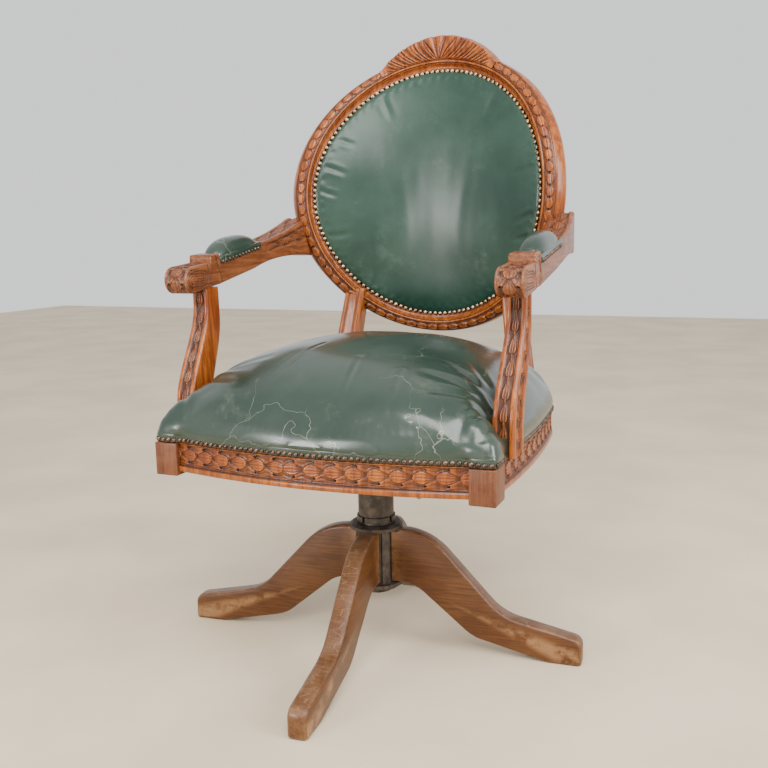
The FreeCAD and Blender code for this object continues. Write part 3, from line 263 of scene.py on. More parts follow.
def makeWood(name, look):
    material, tree, shader, place = startMaterial(name, look["roughness"], 0.0, look["coat"], 0.16)
    link = tree.links.new
    turned = addNode(tree, "ShaderNodeMapping")
    turned.inputs["Rotation"].default_value = look.get("turn", (0, 0, 0))
    link(place, turned.inputs["Vector"])
    grain = addNode(tree, "ShaderNodeGroup", node_tree=grainGroup)
    link(turned.outputs["Vector"], grain.inputs["Vector"])
    grain.inputs["Stretch"].default_value = look["stretch"]
    grain.inputs["Scale"].default_value = look["scale"]
    color = blendColors(tree, ramp(tree, grain.outputs["Grain"], 0.36, 0.66), look["dark"], look["light"])
    color = blendColors(tree, ramp(tree, grain.outputs["Cloud"], 0.38, 0.64), color, look["warm"], "MULTIPLY")
    color = blendColors(tree, math2(tree, "MULTIPLY", grain.outputs["Pores"], 0.55), color, look["pore"])
    shadeAndWear = addShadeAndWear(tree, place, look["paintedShadeReach"])
    color = blendColors(tree, math2(tree, "MULTIPLY", shadeAndWear["Rub"], look["rub"]), color, look["bare"])
    # painted shade: recesses darkened towards the darkest colour where ambient occlusion and carved hollows say
    # shade falls
    color = blendColors(tree, math2(tree, "MULTIPLY", shadeAndWear["PaintedShade"], look["paintedShade"]), color, look["shadeColor"])
    link(color, shader.inputs["Base Color"])
    rough = math2(tree, "ADD", math2(tree, "MULTIPLY", grain.outputs["Cloud"], 0.16), look["roughness"] - 0.08)
    rough = math2(tree, "ADD", rough, math2(tree, "MULTIPLY", shadeAndWear["PaintedShade"], 0.25))
    link(rough, shader.inputs["Roughness"])
    height = math2(tree, "MULTIPLY", grain.outputs["Grain"], 0.5)
    addBump(tree, shader, math2(tree, "SUBTRACT", height, grain.outputs["Pores"]), look["bump"])
    return material


# the darkest colour with its strength and reach is the painted shade in recesses; bare and rub are the worn edges
woodLooks = {
    "carvedWood": {
        "dark": (0.165, 0.036, 0.005), "light": (0.360, 0.098, 0.013), "warm": (0.84, 0.70, 0.55),
        "pore": (0.070, 0.020, 0.006), "bare": (0.46, 0.20, 0.060), "shadeColor": (0.016, 0.006, 0.003),
        "stretch": (1, 1, 0.10), "scale": 130, "roughness": 0.30, "coat": 0.22, "paintedShadeReach": 0.010,
        "rub": 0.5, "paintedShade": 0.95, "bump": 0.10},
    "armWood": {
        "dark": (0.120, 0.034, 0.011), "light": (0.240, 0.080, 0.027), "warm": (0.86, 0.76, 0.68),
        "pore": (0.045, 0.017, 0.008), "bare": (0.40, 0.21, 0.105), "shadeColor": (0.016, 0.006, 0.004),
        "stretch": (1, 0.08, 1), "scale": 150, "roughness": 0.36, "coat": 0.18, "paintedShadeReach": 0.010,
        "rub": 0.5, "paintedShade": 0.9, "bump": 0.12},
    "blockWood": {
        "dark": (0.085, 0.024, 0.008), "light": (0.150, 0.046, 0.016), "warm": (0.88, 0.80, 0.72),
        "pore": (0.040, 0.015, 0.008), "bare": (0.36, 0.17, 0.085), "shadeColor": (0.03, 0.012, 0.007),
        "stretch": (1, 1, 0.05), "scale": 260, "roughness": 0.46, "coat": 0.12, "paintedShadeReach": 0.006,
        "rub": 0.35, "paintedShade": 0.6, "bump": 0.15},
    "hiddenWood": {
        "dark": (0.26, 0.17, 0.09), "light": (0.42, 0.29, 0.17), "warm": (0.9, 0.86, 0.8),
        "pore": (0.14, 0.09, 0.05), "bare": (0.5, 0.36, 0.22), "shadeColor": (0.09, 0.06, 0.04),
        "stretch": (0.12, 1, 1), "scale": 50, "roughness": 0.7, "coat": 0.0, "paintedShadeReach": 0.01,
        "rub": 0.2, "paintedShade": 0.7, "bump": 0.2},
}
carvedWood, armWood, blockWood, hiddenWood = (makeWood(name, look) for name, look in woodLooks.items())

oakLook = {
    "dark": (0.072, 0.026, 0.007), "light": (0.128, 0.048, 0.013), "warm": (0.80, 0.72, 0.64),
    "pore": (0.034, 0.014, 0.006), "bare": (0.36, 0.19, 0.085), "shadeColor": (0.022, 0.010, 0.005),
    "scale": 330, "roughness": 0.40, "coat": 0.12, "paintedShadeReach": 0.008, "rub": 0.6, "paintedShade": 0.6, "bump": 0.22}


def makeOak(name, turn):
    look = dict(oakLook, stretch=(0.05, 1, 1), turn=(0, 0, -turn))      # the grain runs out along the leg
    material = makeWood(name, look)
    tree = material.node_tree
    shader = tree.nodes["Principled BSDF"]
    link = tree.links.new
    base = shader.inputs["Base Color"].links[0].from_socket
    shape = tree.nodes.new("ShaderNodeNewGeometry")
    parts = tree.nodes.new("ShaderNodeSeparateXYZ")
    link(shape.outputs["Normal"], parts.inputs[0])
    place = tree.nodes.new("ShaderNodeTexCoord").outputs["Object"]
    # upward faces lighter in patches: painted light from above, partly dust
    dust = ramp(tree, addNoise(tree, place, Scale=22, Detail=6, Roughness=0.7), 0.32, 0.7)
    topLightAndDust = math2(tree, "MULTIPLY", ramp(tree, parts.outputs["Z"], 0.35, 0.9), dust)
    bent = addNode(tree, "ShaderNodeMapping")
    bent.inputs["Rotation"].default_value = (0.3, 0.5, 0.8)
    bent.inputs["Scale"].default_value = (0.35, 1.8, 1)
    link(place, bent.inputs["Vector"])
    scratched = addEdges(tree, bent.outputs["Vector"], 60)
    lines = math2(tree, "SUBTRACT", 1.0, ramp(tree, scratched, 0.0, 0.030))
    lines = math2(tree, "MULTIPLY", lines, ramp(tree, parts.outputs["Z"], 0.3, 0.8))
    color = blendColors(tree, math2(tree, "MULTIPLY", topLightAndDust, 0.5), base, (0.21, 0.125, 0.075))
    color = blendColors(tree, math2(tree, "MULTIPLY", lines, 0.4), color, (0.30, 0.20, 0.125))
    link(color, shader.inputs["Base Color"])
    return material


def makeLeather(name, look):
    material, tree, shader, place = startMaterial(name, look["roughness"], 0.0, look["coat"],
                                                  look["coatRoughness"])
    link = tree.links.new
    cloud = addNoise(tree, place, Scale=7, Detail=5, Roughness=0.6)
    color = blendColors(tree, ramp(tree, cloud, 0.35, 0.68), look["deep"], look["lit"])
    scuff = addNoise(tree, place, Scale=16, Detail=8, Roughness=0.75)
    scuffs = math2(tree, "MULTIPLY", ramp(tree, scuff, 0.54, 0.78), look["scuff"])
    color = blendColors(tree, scuffs, color, look["worn"])
    cells = addEdges(tree, place, 420)
    if look["crack"] > 0:
        bent = addNoise(tree, place, Scale=9, Detail=4).node
        moved = addNode(tree, "ShaderNodeVectorMath", operation="MULTIPLY_ADD")
        link(bent.outputs["Color"], moved.inputs[0])
        moved.inputs[1].default_value = (0.16, 0.16, 0.16)
        link(place, moved.inputs[2])
        net = addEdges(tree, moved.outputs[0], 9)
        crack = math2(tree, "SUBTRACT", 1.0, ramp(tree, net, 0.0, 0.0055))
        patch = addNoise(tree, place, Scale=5, Detail=3)
        crack = math2(tree, "MULTIPLY", crack, ramp(tree, patch, 0.50, 0.60))
        color = blendColors(tree, math2(tree, "MULTIPLY", crack, look["crack"]), color, look["pale"])
    # painted shade: darker green in creases and folds where ambient occlusion finds recesses
    paintedShade = addShadeAndWear(tree, place, 0.01)["PaintedShade"]
    color = blendColors(tree, math2(tree, "MULTIPLY", paintedShade, 0.6), color, (0.008, 0.014, 0.010))
    link(color, shader.inputs["Base Color"])
    rough = math2(tree, "ADD", math2(tree, "MULTIPLY", cloud, 0.22), look["roughness"] - 0.1)
    link(math2(tree, "ADD", rough, math2(tree, "MULTIPLY", scuffs, 0.3)), shader.inputs["Roughness"])
    height = math2(tree, "ADD", math2(tree, "MULTIPLY", cells, 0.6), math2(tree, "MULTIPLY", scuff, 1.4))
    addBump(tree, shader, height, look["bump"], 0.0008)
    return material


backLeather = makeLeather("backLeather", {
    "deep": (0.010, 0.034, 0.023), "lit": (0.021, 0.055, 0.037), "worn": (0.09, 0.13, 0.10),
    "roughness": 0.34, "coat": 0.30, "coatRoughness": 0.30, "scuff": 0.4, "crack": 0.0, "bump": 0.18})
seatLeather = makeLeather("seatLeather", {
    "deep": (0.010, 0.025, 0.016), "lit": (0.018, 0.036, 0.023), "worn": (0.09, 0.10, 0.066),
    "pale": (0.36, 0.36, 0.26), "roughness": 0.34, "coat": 0.75, "coatRoughness": 0.20, "scuff": 0.55,
    "crack": 0.42, "bump": 0.22})


def makeMetal(name, dark, light, roughness, metallic, scale=60, shadeColor=(0.02, 0.015, 0.01)):
    material, tree, shader, place = startMaterial(name, roughness, metallic)
    link = tree.links.new
    cloud = addNoise(tree, place, Scale=scale, Detail=5, Roughness=0.65)
    color = blendColors(tree, ramp(tree, cloud, 0.36, 0.66), dark, light)
    # painted shade in recesses, darkened towards the shade colour
    color = blendColors(tree, math2(tree, "MULTIPLY", addShadeAndWear(tree, place, 0.004)["PaintedShade"], 0.8), color, shadeColor)
    link(color, shader.inputs["Base Color"])
    link(math2(tree, "ADD", math2(tree, "MULTIPLY", cloud, 0.3), roughness - 0.15), shader.inputs["Roughness"])
    addBump(tree, shader, cloud, 0.2, 0.0004)
    return material


darkIron = makeMetal("darkIron", (0.026, 0.020, 0.015), (0.080, 0.060, 0.045), 0.52, 0.45)
wornSteel = makeMetal("wornSteel", (0.16, 0.15, 0.14), (0.34, 0.32, 0.30), 0.38, 1.0)
bearingBrass = makeMetal("bearingBrass", (0.36, 0.25, 0.09), (0.60, 0.45, 0.18), 0.35, 1.0)
brassNails = makeMetal("brassNails", (0.20, 0.135, 0.075), (0.52, 0.40, 0.25), 0.32, 1.0, scale=130)
bronzeNails = makeMetal("bronzeNails", (0.050, 0.030, 0.022), (0.17, 0.11, 0.08), 0.33, 0.9, scale=130)


def makeCloth(name, dark, light):
    material, tree, shader, place = startMaterial(name, 0.9)
    link = tree.links.new
    threads = []
    for direction in "XZ":
        wave = addNode(tree, "ShaderNodeTexWave", wave_type="BANDS", bands_direction=direction,
                       inputs={"Scale": 150, "Distortion": 1.5})
        link(place, wave.inputs["Vector"])
        threads.append(wave.outputs["Fac"])
    weave = math2(tree, "MAXIMUM", *threads)
    color = blendColors(tree, weave, dark, light)
    stain = addNoise(tree, place, Scale=30, Detail=5)
    color = blendColors(tree, ramp(tree, stain, 0.45, 0.7), color, (0.12, 0.08, 0.045))
    link(color, shader.inputs["Base Color"])
    addBump(tree, shader, weave, 0.6, 0.0008)
    return material


jute = makeCloth("jute", (0.20, 0.135, 0.07), (0.42, 0.31, 0.18))
print("materials made")


# CAD nodes that stay as they are

finishes = {
    darkIron: ["hub", "sole_plate", "hub_nut", "height_collar", "shroud_tube", "seat_iron"],
    wornSteel: ["keyed_washer", "spindle", "cross_pin", "leg_screws", "seat_iron_screws", "seat_springs"],
    bearingBrass: ["upper_bush", "lower_bush"],
    hiddenWood: ["bearer_front", "bearer_rear", "corner_brace_front_left", "corner_brace_front_right"],
    blockWood: ["rear_rail"]}
for material, names in finishes.items():
    for name in names:
        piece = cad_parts[name]
        piece.data.materials.clear()
        piece.data.materials.append(material)


# Base legs: sawn to their profile from one plank, edges rounded and worn

legShape = {"thick": 0.031, "turn": 4, "outline": [
    # out, up, round
    (0.032, 0.206, 0), (0.095, 0.206, 0.110), (0.221, 0.072, 0.090), (0.354, 0.044, 0.015), (0.354, 0.0, 0.005),
    (0.300, 0.0, 0.030), (0.172, 0.029, 0.070), (0.071, 0.112, 0.060), (0.032, 0.112, 0)],
    "edge": 0.0056, "sharpEnd": 0.036}      # the end in the hub stays sharp


def legProfile():
    corners = [Vector((x, z)) for x, z, _ in legShape["outline"]]
    points = []
    for i, (x, z, radius) in enumerate(legShape["outline"]):
        here = corners[i]
        before = (corners[i - 1] - here).normalized()
        after = (corners[(i + 1) % len(corners)] - here).normalized()
        if not radius:
            points.append(here)
            continue
        angle = before.angle(after)
        reach = radius / math.tan(angle / 2)
        middle = here + (before + after).normalized() * (radius / math.sin(angle / 2))
        first = here + before * reach - middle
        last = here + after * reach - middle
        steps = max(3, int(reach * 200))
        for k in range(steps + 1):
            swing = first.lerp(last, k / steps)
            points.append(middle + swing.normalized() * radius)
    return points


def makeLeg(side, number):
    turn = math.radians(legShape["turn"] + 90 * number)
    points = legProfile()
    bm = bmesh.new()
    rim = bmesh.ops.create_circle(bm, cap_ends=True, segments=len(points), radius=1)["verts"]
    for vert, point in zip(rim, points):
        vert.co = (point.x, -legShape["thick"] / 2, point.y)
    grown = bmesh.ops.extrude_face_region(bm, geom=bm.faces[:])["geom"]
    grown = [item for item in grown if isinstance(item, bmesh.types.BMVert)]
    bmesh.ops.translate(bm, vec=(0, legShape["thick"], 0), verts=grown)
    edges = [edge for edge in bm.edges if abs(edge.verts[0].co.y - edge.verts[1].co.y) < 1e-6
             and max(vert.co.x for vert in edge.verts) > legShape["sharpEnd"]]
    bmesh.ops.bevel(bm, geom=edges, offset=legShape["edge"], offset_type="OFFSET", affect="EDGES", segments=3,
                    profile=0.5, material=-1, clamp_overlap=True)
    bmesh.ops.rotate(bm, cent=(0, 0, 0), matrix=Matrix.Rotation(turn, 3, "Z"), verts=bm.verts)
    material = makeOak("oak" + side.capitalize(), turn)
    leg = addPiece("oak_leg_" + side, bm, material, "base", ["base_leg_" + side])
    shadeByAngle(leg)


def shadeByAngle(piece, limit=40):
    mesh = piece.data
    bm = bmesh.new()
    bm.from_mesh(mesh)
    for edge in bm.edges:
        edge.smooth = len(edge.link_faces) == 2 and edge.calc_face_angle(0) < math.radians(limit)
    bm.to_mesh(mesh)
    bm.free()


for number, side in enumerate(("right", "rear", "left", "front")):
    makeLeg(side, number)
print("legs made")


# Back: round carved frame, wrapped round the sitter

back = {"halfWide": 0.221, "halfHigh": 0.230, "middle": 0.776, "place": 0.335, "wrap": 0.313,
        "lean": math.tan(math.radians(3)), "leaf": 0.0204, "relief": 0.0027, "puff": 0.030,
        "rollRadius": 0.0140, "rollSweep": 1.45, "rollRows": 15, "rollLength": 1.08, "stations": 1400}
ringProfile = [      # out from the edge of the leather, into the thickness, how hollow a spot is, which sets its painted shade
    (-0.004, 0.036, 0), (-0.004, 0.009, 0), (0.003, 0.009, 1), (0.0034, 0.0046, 1), (0.0045, 0.0036, 0.4),
    (0.0065, 0.0042, 0), (0.0085, 0.0044, 0), (0.0105, 0.0038, 0), (0.0125, 0.0024, 0), (0.0142, 0.0004, 0),
    (0.0154, -0.0016, 0), (0.0160, -0.0026, 0), (0.0164, -0.0012, 1), (0.0169, -0.0010, 1), (0.0173, -0.0026, 0),
    (0.0182, -0.0039, 0), (0.0194, -0.0043, 0), (0.0206, -0.0040, 0), (0.0213, -0.0030, 0), (0.0216, -0.0008, 1),
    (0.0221, -0.0006, 1)]
leafFirst = len(ringProfile)
for row in range(back["rollRows"] + 1):
    swing = row / back["rollRows"] * back["rollSweep"]
    ringProfile.append((0.0226 + back["rollRadius"] * math.sin(swing), 0.0122 - 0.0142 * math.cos(swing), 0))
ringProfile += [
    (0.0362, 0.0112, 1), (0.0366, 0.0120, 1), (0.0374, 0.0130, 0), (0.0380, 0.0160, 0), (0.0381, 0.0200, 0),
    (0.0378, 0.0260, 0), (0.0366, 0.0316, 0), (0.0335, 0.0354, 0), (0.0200, 0.0362, 0), (-0.004, 0.036, 0)]


def backSpot(turn, share=1.0):
    wide, high, wrap = back["halfWide"], back["halfHigh"], back["wrap"]
    x = share * wide * math.cos(turn)
    rise = share * high * math.sin(turn)
    y = back["place"] - wrap + math.sqrt(wrap * wrap - x * x) + rise * back["lean"]
    into = Vector((x / wrap, math.sqrt(1 - (x / wrap) ** 2), 0))
    across = Vector((into.y, -into.x, 0))
    upward = Vector((0, back["lean"], 1)).normalized()
    out = (across * (math.cos(turn) / wide) + upward * (math.sin(turn) / high)).normalized()
    into = (into - out * into.dot(out)).normalized()
    return Vector((x, y, back["middle"] + rise)), out, into


def ringLength(turn):
    return math.hypot(back["halfWide"] * math.sin(turn), back["halfHigh"] * math.cos(turn))


def arcTable(steps=720):
    total = 0.0      # distance round the ring from the foot of the back, on each side
    rows = [(0.0, 0.0)]
    for k in range(steps):
        angle = (k + 0.5) / steps * math.pi
        total += ringLength(angle - math.pi / 2) * math.pi / steps * back["rollLength"]
        rows.append(((k + 1) / steps * math.pi, total))
    return rows


ringRows = arcTable()


def ringDistance(turn):
    swing = math.pi - abs((turn + math.pi / 2) % (2 * math.pi) - math.pi)
    spot = swing / math.pi * (len(ringRows) - 1)
    i = min(int(spot), len(ringRows) - 2)
    return mix(ringRows[i][1], ringRows[i + 1][1], spot - i)


def ringLeaf(p, t):
    a = abs(t)      # long pointed leaf with a rib, drilled where the next one starts
    wide = 0.84 * math.sin(math.pi * min(1, p * 0.90 + 0.04)) ** 0.85
    if math.hypot((p - 0.985) * 2.2, a) < 0.20 or math.hypot((p + 0.015) * 2.2, a) < 0.20:
        return -1.0
    if a > wide:
        return -0.35
    dome = math.sqrt(1 - (a / wide) ** 2)
    return mix(0.45, 1.0, p) * (0.35 + 0.65 * dome) - 0.40 * bell(a, 0.10) * ease(0.95, 0.7, p)


def ringPoint(u, v):
    turn = u * 2 * math.pi - math.pi / 2
    spot, out, into = backSpot(turn)
    row = min(int(round(v * (len(ringProfile) - 1))), len(ringProfile) - 1)
    g, d, shadeAmount = ringProfile[row]
    if leafFirst <= row <= leafFirst + back["rollRows"]:
        t = (row - leafFirst) / back["rollRows"] * 2 - 1
        height = ringLeaf((ringDistance(turn) / back["leaf"]) % 1, t)
        swing = (row - leafFirst) / back["rollRows"] * back["rollSweep"]
        lift = back["relief"] * (height - 0.85) * ease(1.0, 0.86, abs(t))
        g += lift * math.sin(swing)
        d -= lift * math.cos(swing)
        # painted shade between the leaves and in the drilled holes
        shadeAmount = 1 - ease(-0.8, 0.25, height)
    return spot + out * g + into * d, shadeAmount


addPiece("carved_back_frame", gridMesh(back["stations"], len(ringProfile) - 1, ringPoint), carvedWood, "seat",
         ["back_crest_rail", "back_stile_right", "back_stile_left", "back_bottom_rail"])

crest = {"half": 0.096, "high": 0.033, "relief": 0.0062, "inner": 0.0225, "outer": 0.0375, "face": 0.70,
         "edge": 0.84, "palmette": 0.52}


def crestCarving(x, high):
    # a palmette in the middle, leaves that curl outward beside it
    reach = math.hypot(x, high + 0.006)
    swing = abs(math.atan2(x, high + 0.006))
    away = abs(x)
    if swing < crest["palmette"] and away < 0.026:
        wide = swing / crest["palmette"]
        lobe = abs(math.cos(wide * math.pi * 1.5)) ** 0.7
        height = (0.30 + 0.80 * lobe) * ease(0.004, 0.014, reach)
        return height - 0.6 * bell(wide, 0.10) * ease(0.034, 0.014, high)
    lean = (away - 0.010 - high * 1.15 + high * high * 14) / 0.0215
    lane = lean % 1
    leaf = math.sin(math.pi * lane ** 0.8) ** 0.6
    vein = 0.55 * bell(lane - 0.36, 0.055) + 0.35 * bell(lane - 0.66, 0.05)
    tip = 0.35 * bell(lane - 0.5, 0.2) * bell(high - 0.020, 0.006)
    return (leaf - vein + tip) * ease(-0.001, 0.004, high)


def crestPoint(u, v):
    x = (u * 2 - 1) * crest["half"] * 1.05
    turn = math.acos(max(-1, min(1, x / back["halfWide"])))
    spot, out, into = backSpot(turn)
    away = min(1, abs(x) / crest["half"])
    rise = crest["high"] * (1 - away ** 2) ** 0.95
    inner, outer, face, edge = crest["inner"], crest["outer"] + rise, crest["face"], crest["edge"]
    shadeAmount = 0
    fade = ease(1.0, 0.86, away)
    if v < face:
        part = v / face
        g = mix(inner, outer, part)
        height = crestCarving(x, g - inner)
        base = mix(-0.0030, 0.0015, part)
        d = base - crest["relief"] * (height - 0.45) * ease(1.0, 0.90, part) * fade * ease(0, 0.06, part)
        d = mix(0.010, d, ease(1.0, 0.94, part))
        g -= 0.0016 * (1 - max(0, height)) * ease(0.9, 1.0, part) * fade
        # painted shade in the hollows of the carving
        shadeAmount = hollowOf(height) * fade * ease(1.0, 0.93, part)
        d = mix(0.004, d, ease(0, 0.03, part))
    elif v < edge:
        part = (v - face) / 0.14
        height = crestCarving(x, outer - inner)
        g = outer + 0.0010 * math.sin(math.pi * part) - 0.0016 * (1 - max(0, height)) * (1 - part) * fade
        d = mix(0.010, 0.029, part)
    else:
        part = (v - edge) / 0.16
        g = mix(outer, inner, part)
        d = mix(0.029, 0.0355, ease(0, 0.4, part))
    return spot + out * g + into * d, shadeAmount


crestMesh = gridMesh(340, 84, crestPoint)
closeEnds(crestMesh)
addPiece("carved_crest", crestMesh, carvedWood, "seat")
print("back frame made")


# Cloth: a stuffed piece is swollen by a short simulation, then kept from moving further than its cap

clothLook = {"quality": 4, "mass": 0.3, "tension_stiffness": 18, "compression_stiffness": 18,
             "shear_stiffness": 8, "bending_stiffness": 1.2, "use_pressure": True}
clothFrames = 20


def calmVerts(bm, verts):
    bmesh.ops.smooth_vert(bm, verts=verts, factor=0.5, use_axis_x=True, use_axis_y=True, use_axis_z=True)


def swell(piece, voxel, cap, pinned, pressure=4.0, calm=2):
    scene = bpy.context.scene
    work = bpy.data.objects.new(piece.name + "_work", piece.data.copy())
    scene.collection.objects.link(work)
    remesh = work.modifiers.new("Remesh", "REMESH")
    remesh.mode = "VOXEL"
    remesh.voxel_size = voxel
    bpy.context.view_layer.update()
    start = bpy.data.meshes.new_from_object(work.evaluated_get(bpy.context.evaluated_depsgraph_get()))
    work.modifiers.clear()
    work.data = start
    group = work.vertex_groups.new(name="held")
    for vert in start.vertices:
        weight = pinned(vert.co)
        if weight > 0:
            group.add([vert.index], weight, "REPLACE")
    cloth = work.modifiers.new("Cloth", "CLOTH")
    settings = cloth.settings
    for key, value in clothLook.items():
        setattr(settings, key, value)
    settings.uniform_pressure_force = pressure
    settings.effector_weights.gravity = 0
    settings.vertex_group_mass = "held"
    cloth.point_cache.frame_start = 1
    cloth.point_cache.frame_end = clothFrames
    for step in range(1, clothFrames + 1):
        scene.frame_set(step)
    moved = bpy.data.meshes.new_from_object(work.evaluated_get(bpy.context.evaluated_depsgraph_get()))
    for before, after in zip(start.vertices, moved.vertices):
        shift = after.co - before.co
        if shift.length > cap:
            shift *= cap / shift.length
        after.co = before.co + shift
    scene.frame_set(1)
    bm = bmesh.new()
    bm.from_mesh(moved)
    loose = [vert for vert in bm.verts if pinned(vert.co) == 0]
    for step in range(calm):      # tight leather keeps only broad folds
        calmVerts(bm, loose)
    bmesh.ops.subdivide_edges(bm, edges=bm.edges, cuts=1, use_grid_fill=True, smooth=0.0)
    calmVerts(bm, bm.verts)
    bm.to_mesh(piece.data)
    bm.free()
    for face in piece.data.polygons:
        face.use_smooth = True
        face.material_index = 0
    bpy.data.objects.remove(work)
    print("simulated", piece.name, len(piece.data.polygons))


# Back leather

backCreases = [      # from, to (across, up from the middle), depth, half width
    ((-0.212, 0.060), (-0.165, 0.040), 0.0016, 0.0050), ((-0.216, 0.010), (-0.180, -0.002), 0.0016, 0.0045),
    ((0.205, 0.085), (0.160, 0.062), 0.0016, 0.0055), ((0.214, 0.040), (0.150, 0.028), 0.0014, 0.0060),
    ((0.214, -0.040), (0.168, -0.060), 0.0018, 0.0050), ((0.200, -0.085), (0.160, -0.090), 0.0014, 0.0050),
    ((-0.200, -0.080), (-0.150, -0.070), 0.0012, 0.0060), ((0.120, 0.180), (0.100, 0.130), 0.0012, 0.0060),
    ((-0.110, 0.190), (-0.085, 0.140), 0.0010, 0.0060), ((-0.190, 0.110), (-0.150, 0.095), 0.0012, 0.0050)]


def creaseDepth(creases, x, z):
    total = 0.0
    for (x0, z0), (x1, z1), depth, half in creases:
        run = Vector((x1 - x0, z1 - z0))
        part = max(0, min(1, ((x - x0) * run.x + (z - z0) * run.y) / run.length_squared))
        gap = math.hypot(x - x0 - run.x * part, z - z0 - run.y * part)
        fade = math.sin(math.pi * min(1, 0.25 + 0.75 * part)) if part > 0.5 else 1.0
        total += depth * fade * (bell(gap, half) - 0.45 * bell(gap - half * 1.8, half))
    return total


padRim = [      # out from the edge of the leather, into the thickness
    (0.0015, 0.0015), (0.0022, 0.004), (0.0022, 0.008), (-0.0045, 0.0085), (-0.0048, 0.018), (-0.03, 0.021)]


def backPadPoint(turn, part):
    # front centre to rim is the first 0.7 of the way, then round the edge and over the hidden back
    if part < 0.7:
        share = math.sin(part / 0.7 * math.pi / 2) ** 0.9
        x = share * (back["halfWide"] + 0.0015) * math.cos(turn)
        rise = share * (back["halfHigh"] + 0.0015) * math.sin(turn)
        wrap = back["wrap"]
        flat = Vector((x / wrap, math.sqrt(1 - (x / wrap) ** 2), 0))
        depth = 0.0015 - back["puff"] * max(0, 1 - share ** 2) ** 0.62
        middle = Vector((0, back["place"] - wrap + rise * back["lean"], back["middle"] + rise))
        return middle + flat * (wrap + depth)
    if part < 0.9:
        g, d = follow(padRim, (part - 0.7) / 0.2)
        spot, out, into = backSpot(turn)
        return spot + out * g + into * d
    share = mix(0.86, 0, (part - 0.9) / 0.1)
    spot, out, into = backSpot(turn, share)
    return spot + into * mix(0.021, 0.025, (part - 0.9) / 0.1)


def heldAtRim(co):
    x = co.x / back["halfWide"]
    z = (co.z - back["middle"]) / back["halfHigh"]
    share = math.hypot(x, z)
    wrap = back["wrap"]
    y = back["place"] - wrap + math.sqrt(max(0, wrap ** 2 - co.x ** 2)) + (co.z - back["middle"]) * back["lean"]
    return 1.0 if share > 0.965 or co.y > y + 0.003 else 0.0


def makeBackPad():
    bm = ballMesh(128, 72, backPadPoint)
    pad = addPiece("back_leather", bm, backLeather, "seat", ["back_pad_front"])
    swell(pad, 0.0052, 0.004, heldAtRim, 2.0, 14)
    for vert in pad.data.vertices:
        x, z = vert.co.x, vert.co.z - back["middle"]
        share = math.hypot(x / back["halfWide"], z / back["halfHigh"])
        if heldAtRim(vert.co) == 0:
            into = Vector((x / back["wrap"], 0.8, 0)).normalized()
            pull = 0.0006 * math.sin(math.atan2(z, x) * 74) * ease(0.90, 0.985, share)
            slack = 0.0016 * noise.noise(Vector((x * 14, z * 9, 3.1)))
            vert.co += into * (creaseDepth(backCreases, x, z) + pull + slack * ease(1.0, 0.8, share))


makeBackPad()


def makeBackNails(count=138):
    spots = []
    for k in range(count):
        spot, out, into = backSpot(2 * math.pi * k / count)
        jitter = random.uniform(-0.0004, 0.0004)
        spots.append((spot + out * (0.0022 + jitter) + into * 0.0012, -into))
    addPiece("back_nails", domes(spots, 0.0045, 0.0029), brassNails, "seat")


makeBackNails()
print("back made")


# Seat: outline of the leather at its lower edge, right half from the front to the rear

seat = {"centre": 0.014, "low": 0.4034, "edge": 0.026, "crown": 0.128, "pitch": 0.0098, "nailHeight": 0.3895,
        "frontReach": 0.2697, "rearReach": 0.288, "railFront": -0.186, "railBend": 0.196, "gap": 0.003}


def seatHalf(y):
    if y < seat["railFront"]:      # half width inside the side rails
        return 0.277
    if y < seat["railBend"]:
        part = (y - seat["railFront"]) / 0.382
        return 0.274 - 0.014 * part + 0.036 * part * (1 - part) - seat["gap"]
    part = min(1, (y - seat["railBend"]) / 0.089)
    return 0.260 - 0.051 * part ** 1.8 - seat["gap"]


def seatRim():
    rim = [(0.236 * k / 14, -0.2546 + 0.030 * (0.236 * k / 14 / 0.24) ** 2) for k in range(15)]
    rim += [(0.243, -0.2298), (0.256, -0.2306), (0.268, -0.2304), (0.2752, -0.2282), (0.2785, -0.222),
            (0.2787, -0.205), (0.2782, -0.190), (0.2748, -0.180)]
    rim += [(seatHalf(y) + 0.0016, y) for y in (-0.170 + 0.0227 * k for k in range(20))]
    rim += [(0.213, 0.278), (0.205, 0.287), (0.190, 0.2915), (0.165, 0.2930), (0.120, 0.2983), (0.080, 0.3025),
            (0.040, 0.3051), (0.0, 0.3059)]
    return rim


rimPoints = seatRim()
rimAngles = [(math.atan2(y - seat["centre"], x), math.hypot(x, y - seat["centre"])) for x, y in rimPoints]


def rimReach(turn):
    angle = math.asin(max(-1, min(1, math.sin(turn))))      # the left half mirrors the right one
    for (a0, r0), (a1, r1) in zip(rimAngles, rimAngles[1:]):
        if angle <= a1:
            part = (angle - a0) / max(1e-6, a1 - a0)
            return mix(r0, r1, part)
    return rimAngles[-1][1]


def seatTop(x, y):
    off = (y - seat["centre"]) / (seat["frontReach"] if y < seat["centre"] else seat["rearReach"])
    across = x / (seatHalf(y) + 0.004)
    dome = max(0, 1 - abs(off) ** 2.4) ** 0.8
    rise = max(0, 1 - abs(across) ** 2.6) ** 0.8
    return seat["low"] + seat["edge"] + (seat["crown"] - seat["edge"]) * dome * rise


rollKnots = [      # in from the lower edge, height over the rails' top edge
    (0.0130, 0.0262), (0.0070, 0.0232), (0.0020, 0.0175), (-0.0018, 0.0105), (-0.0032, 0.0035),
    (-0.0030, -0.0040), (-0.0014, -0.0100), (0.0012, -0.0130), (0.0090, -0.0120), (0.0105, 0.0), (0.0140, 0.0005)]
wellKnots = [(0.95, 0.0005), (0.71, 0.0006), (0.69, 0.0670), (0.02, 0.0680)]      # share of the reach, height


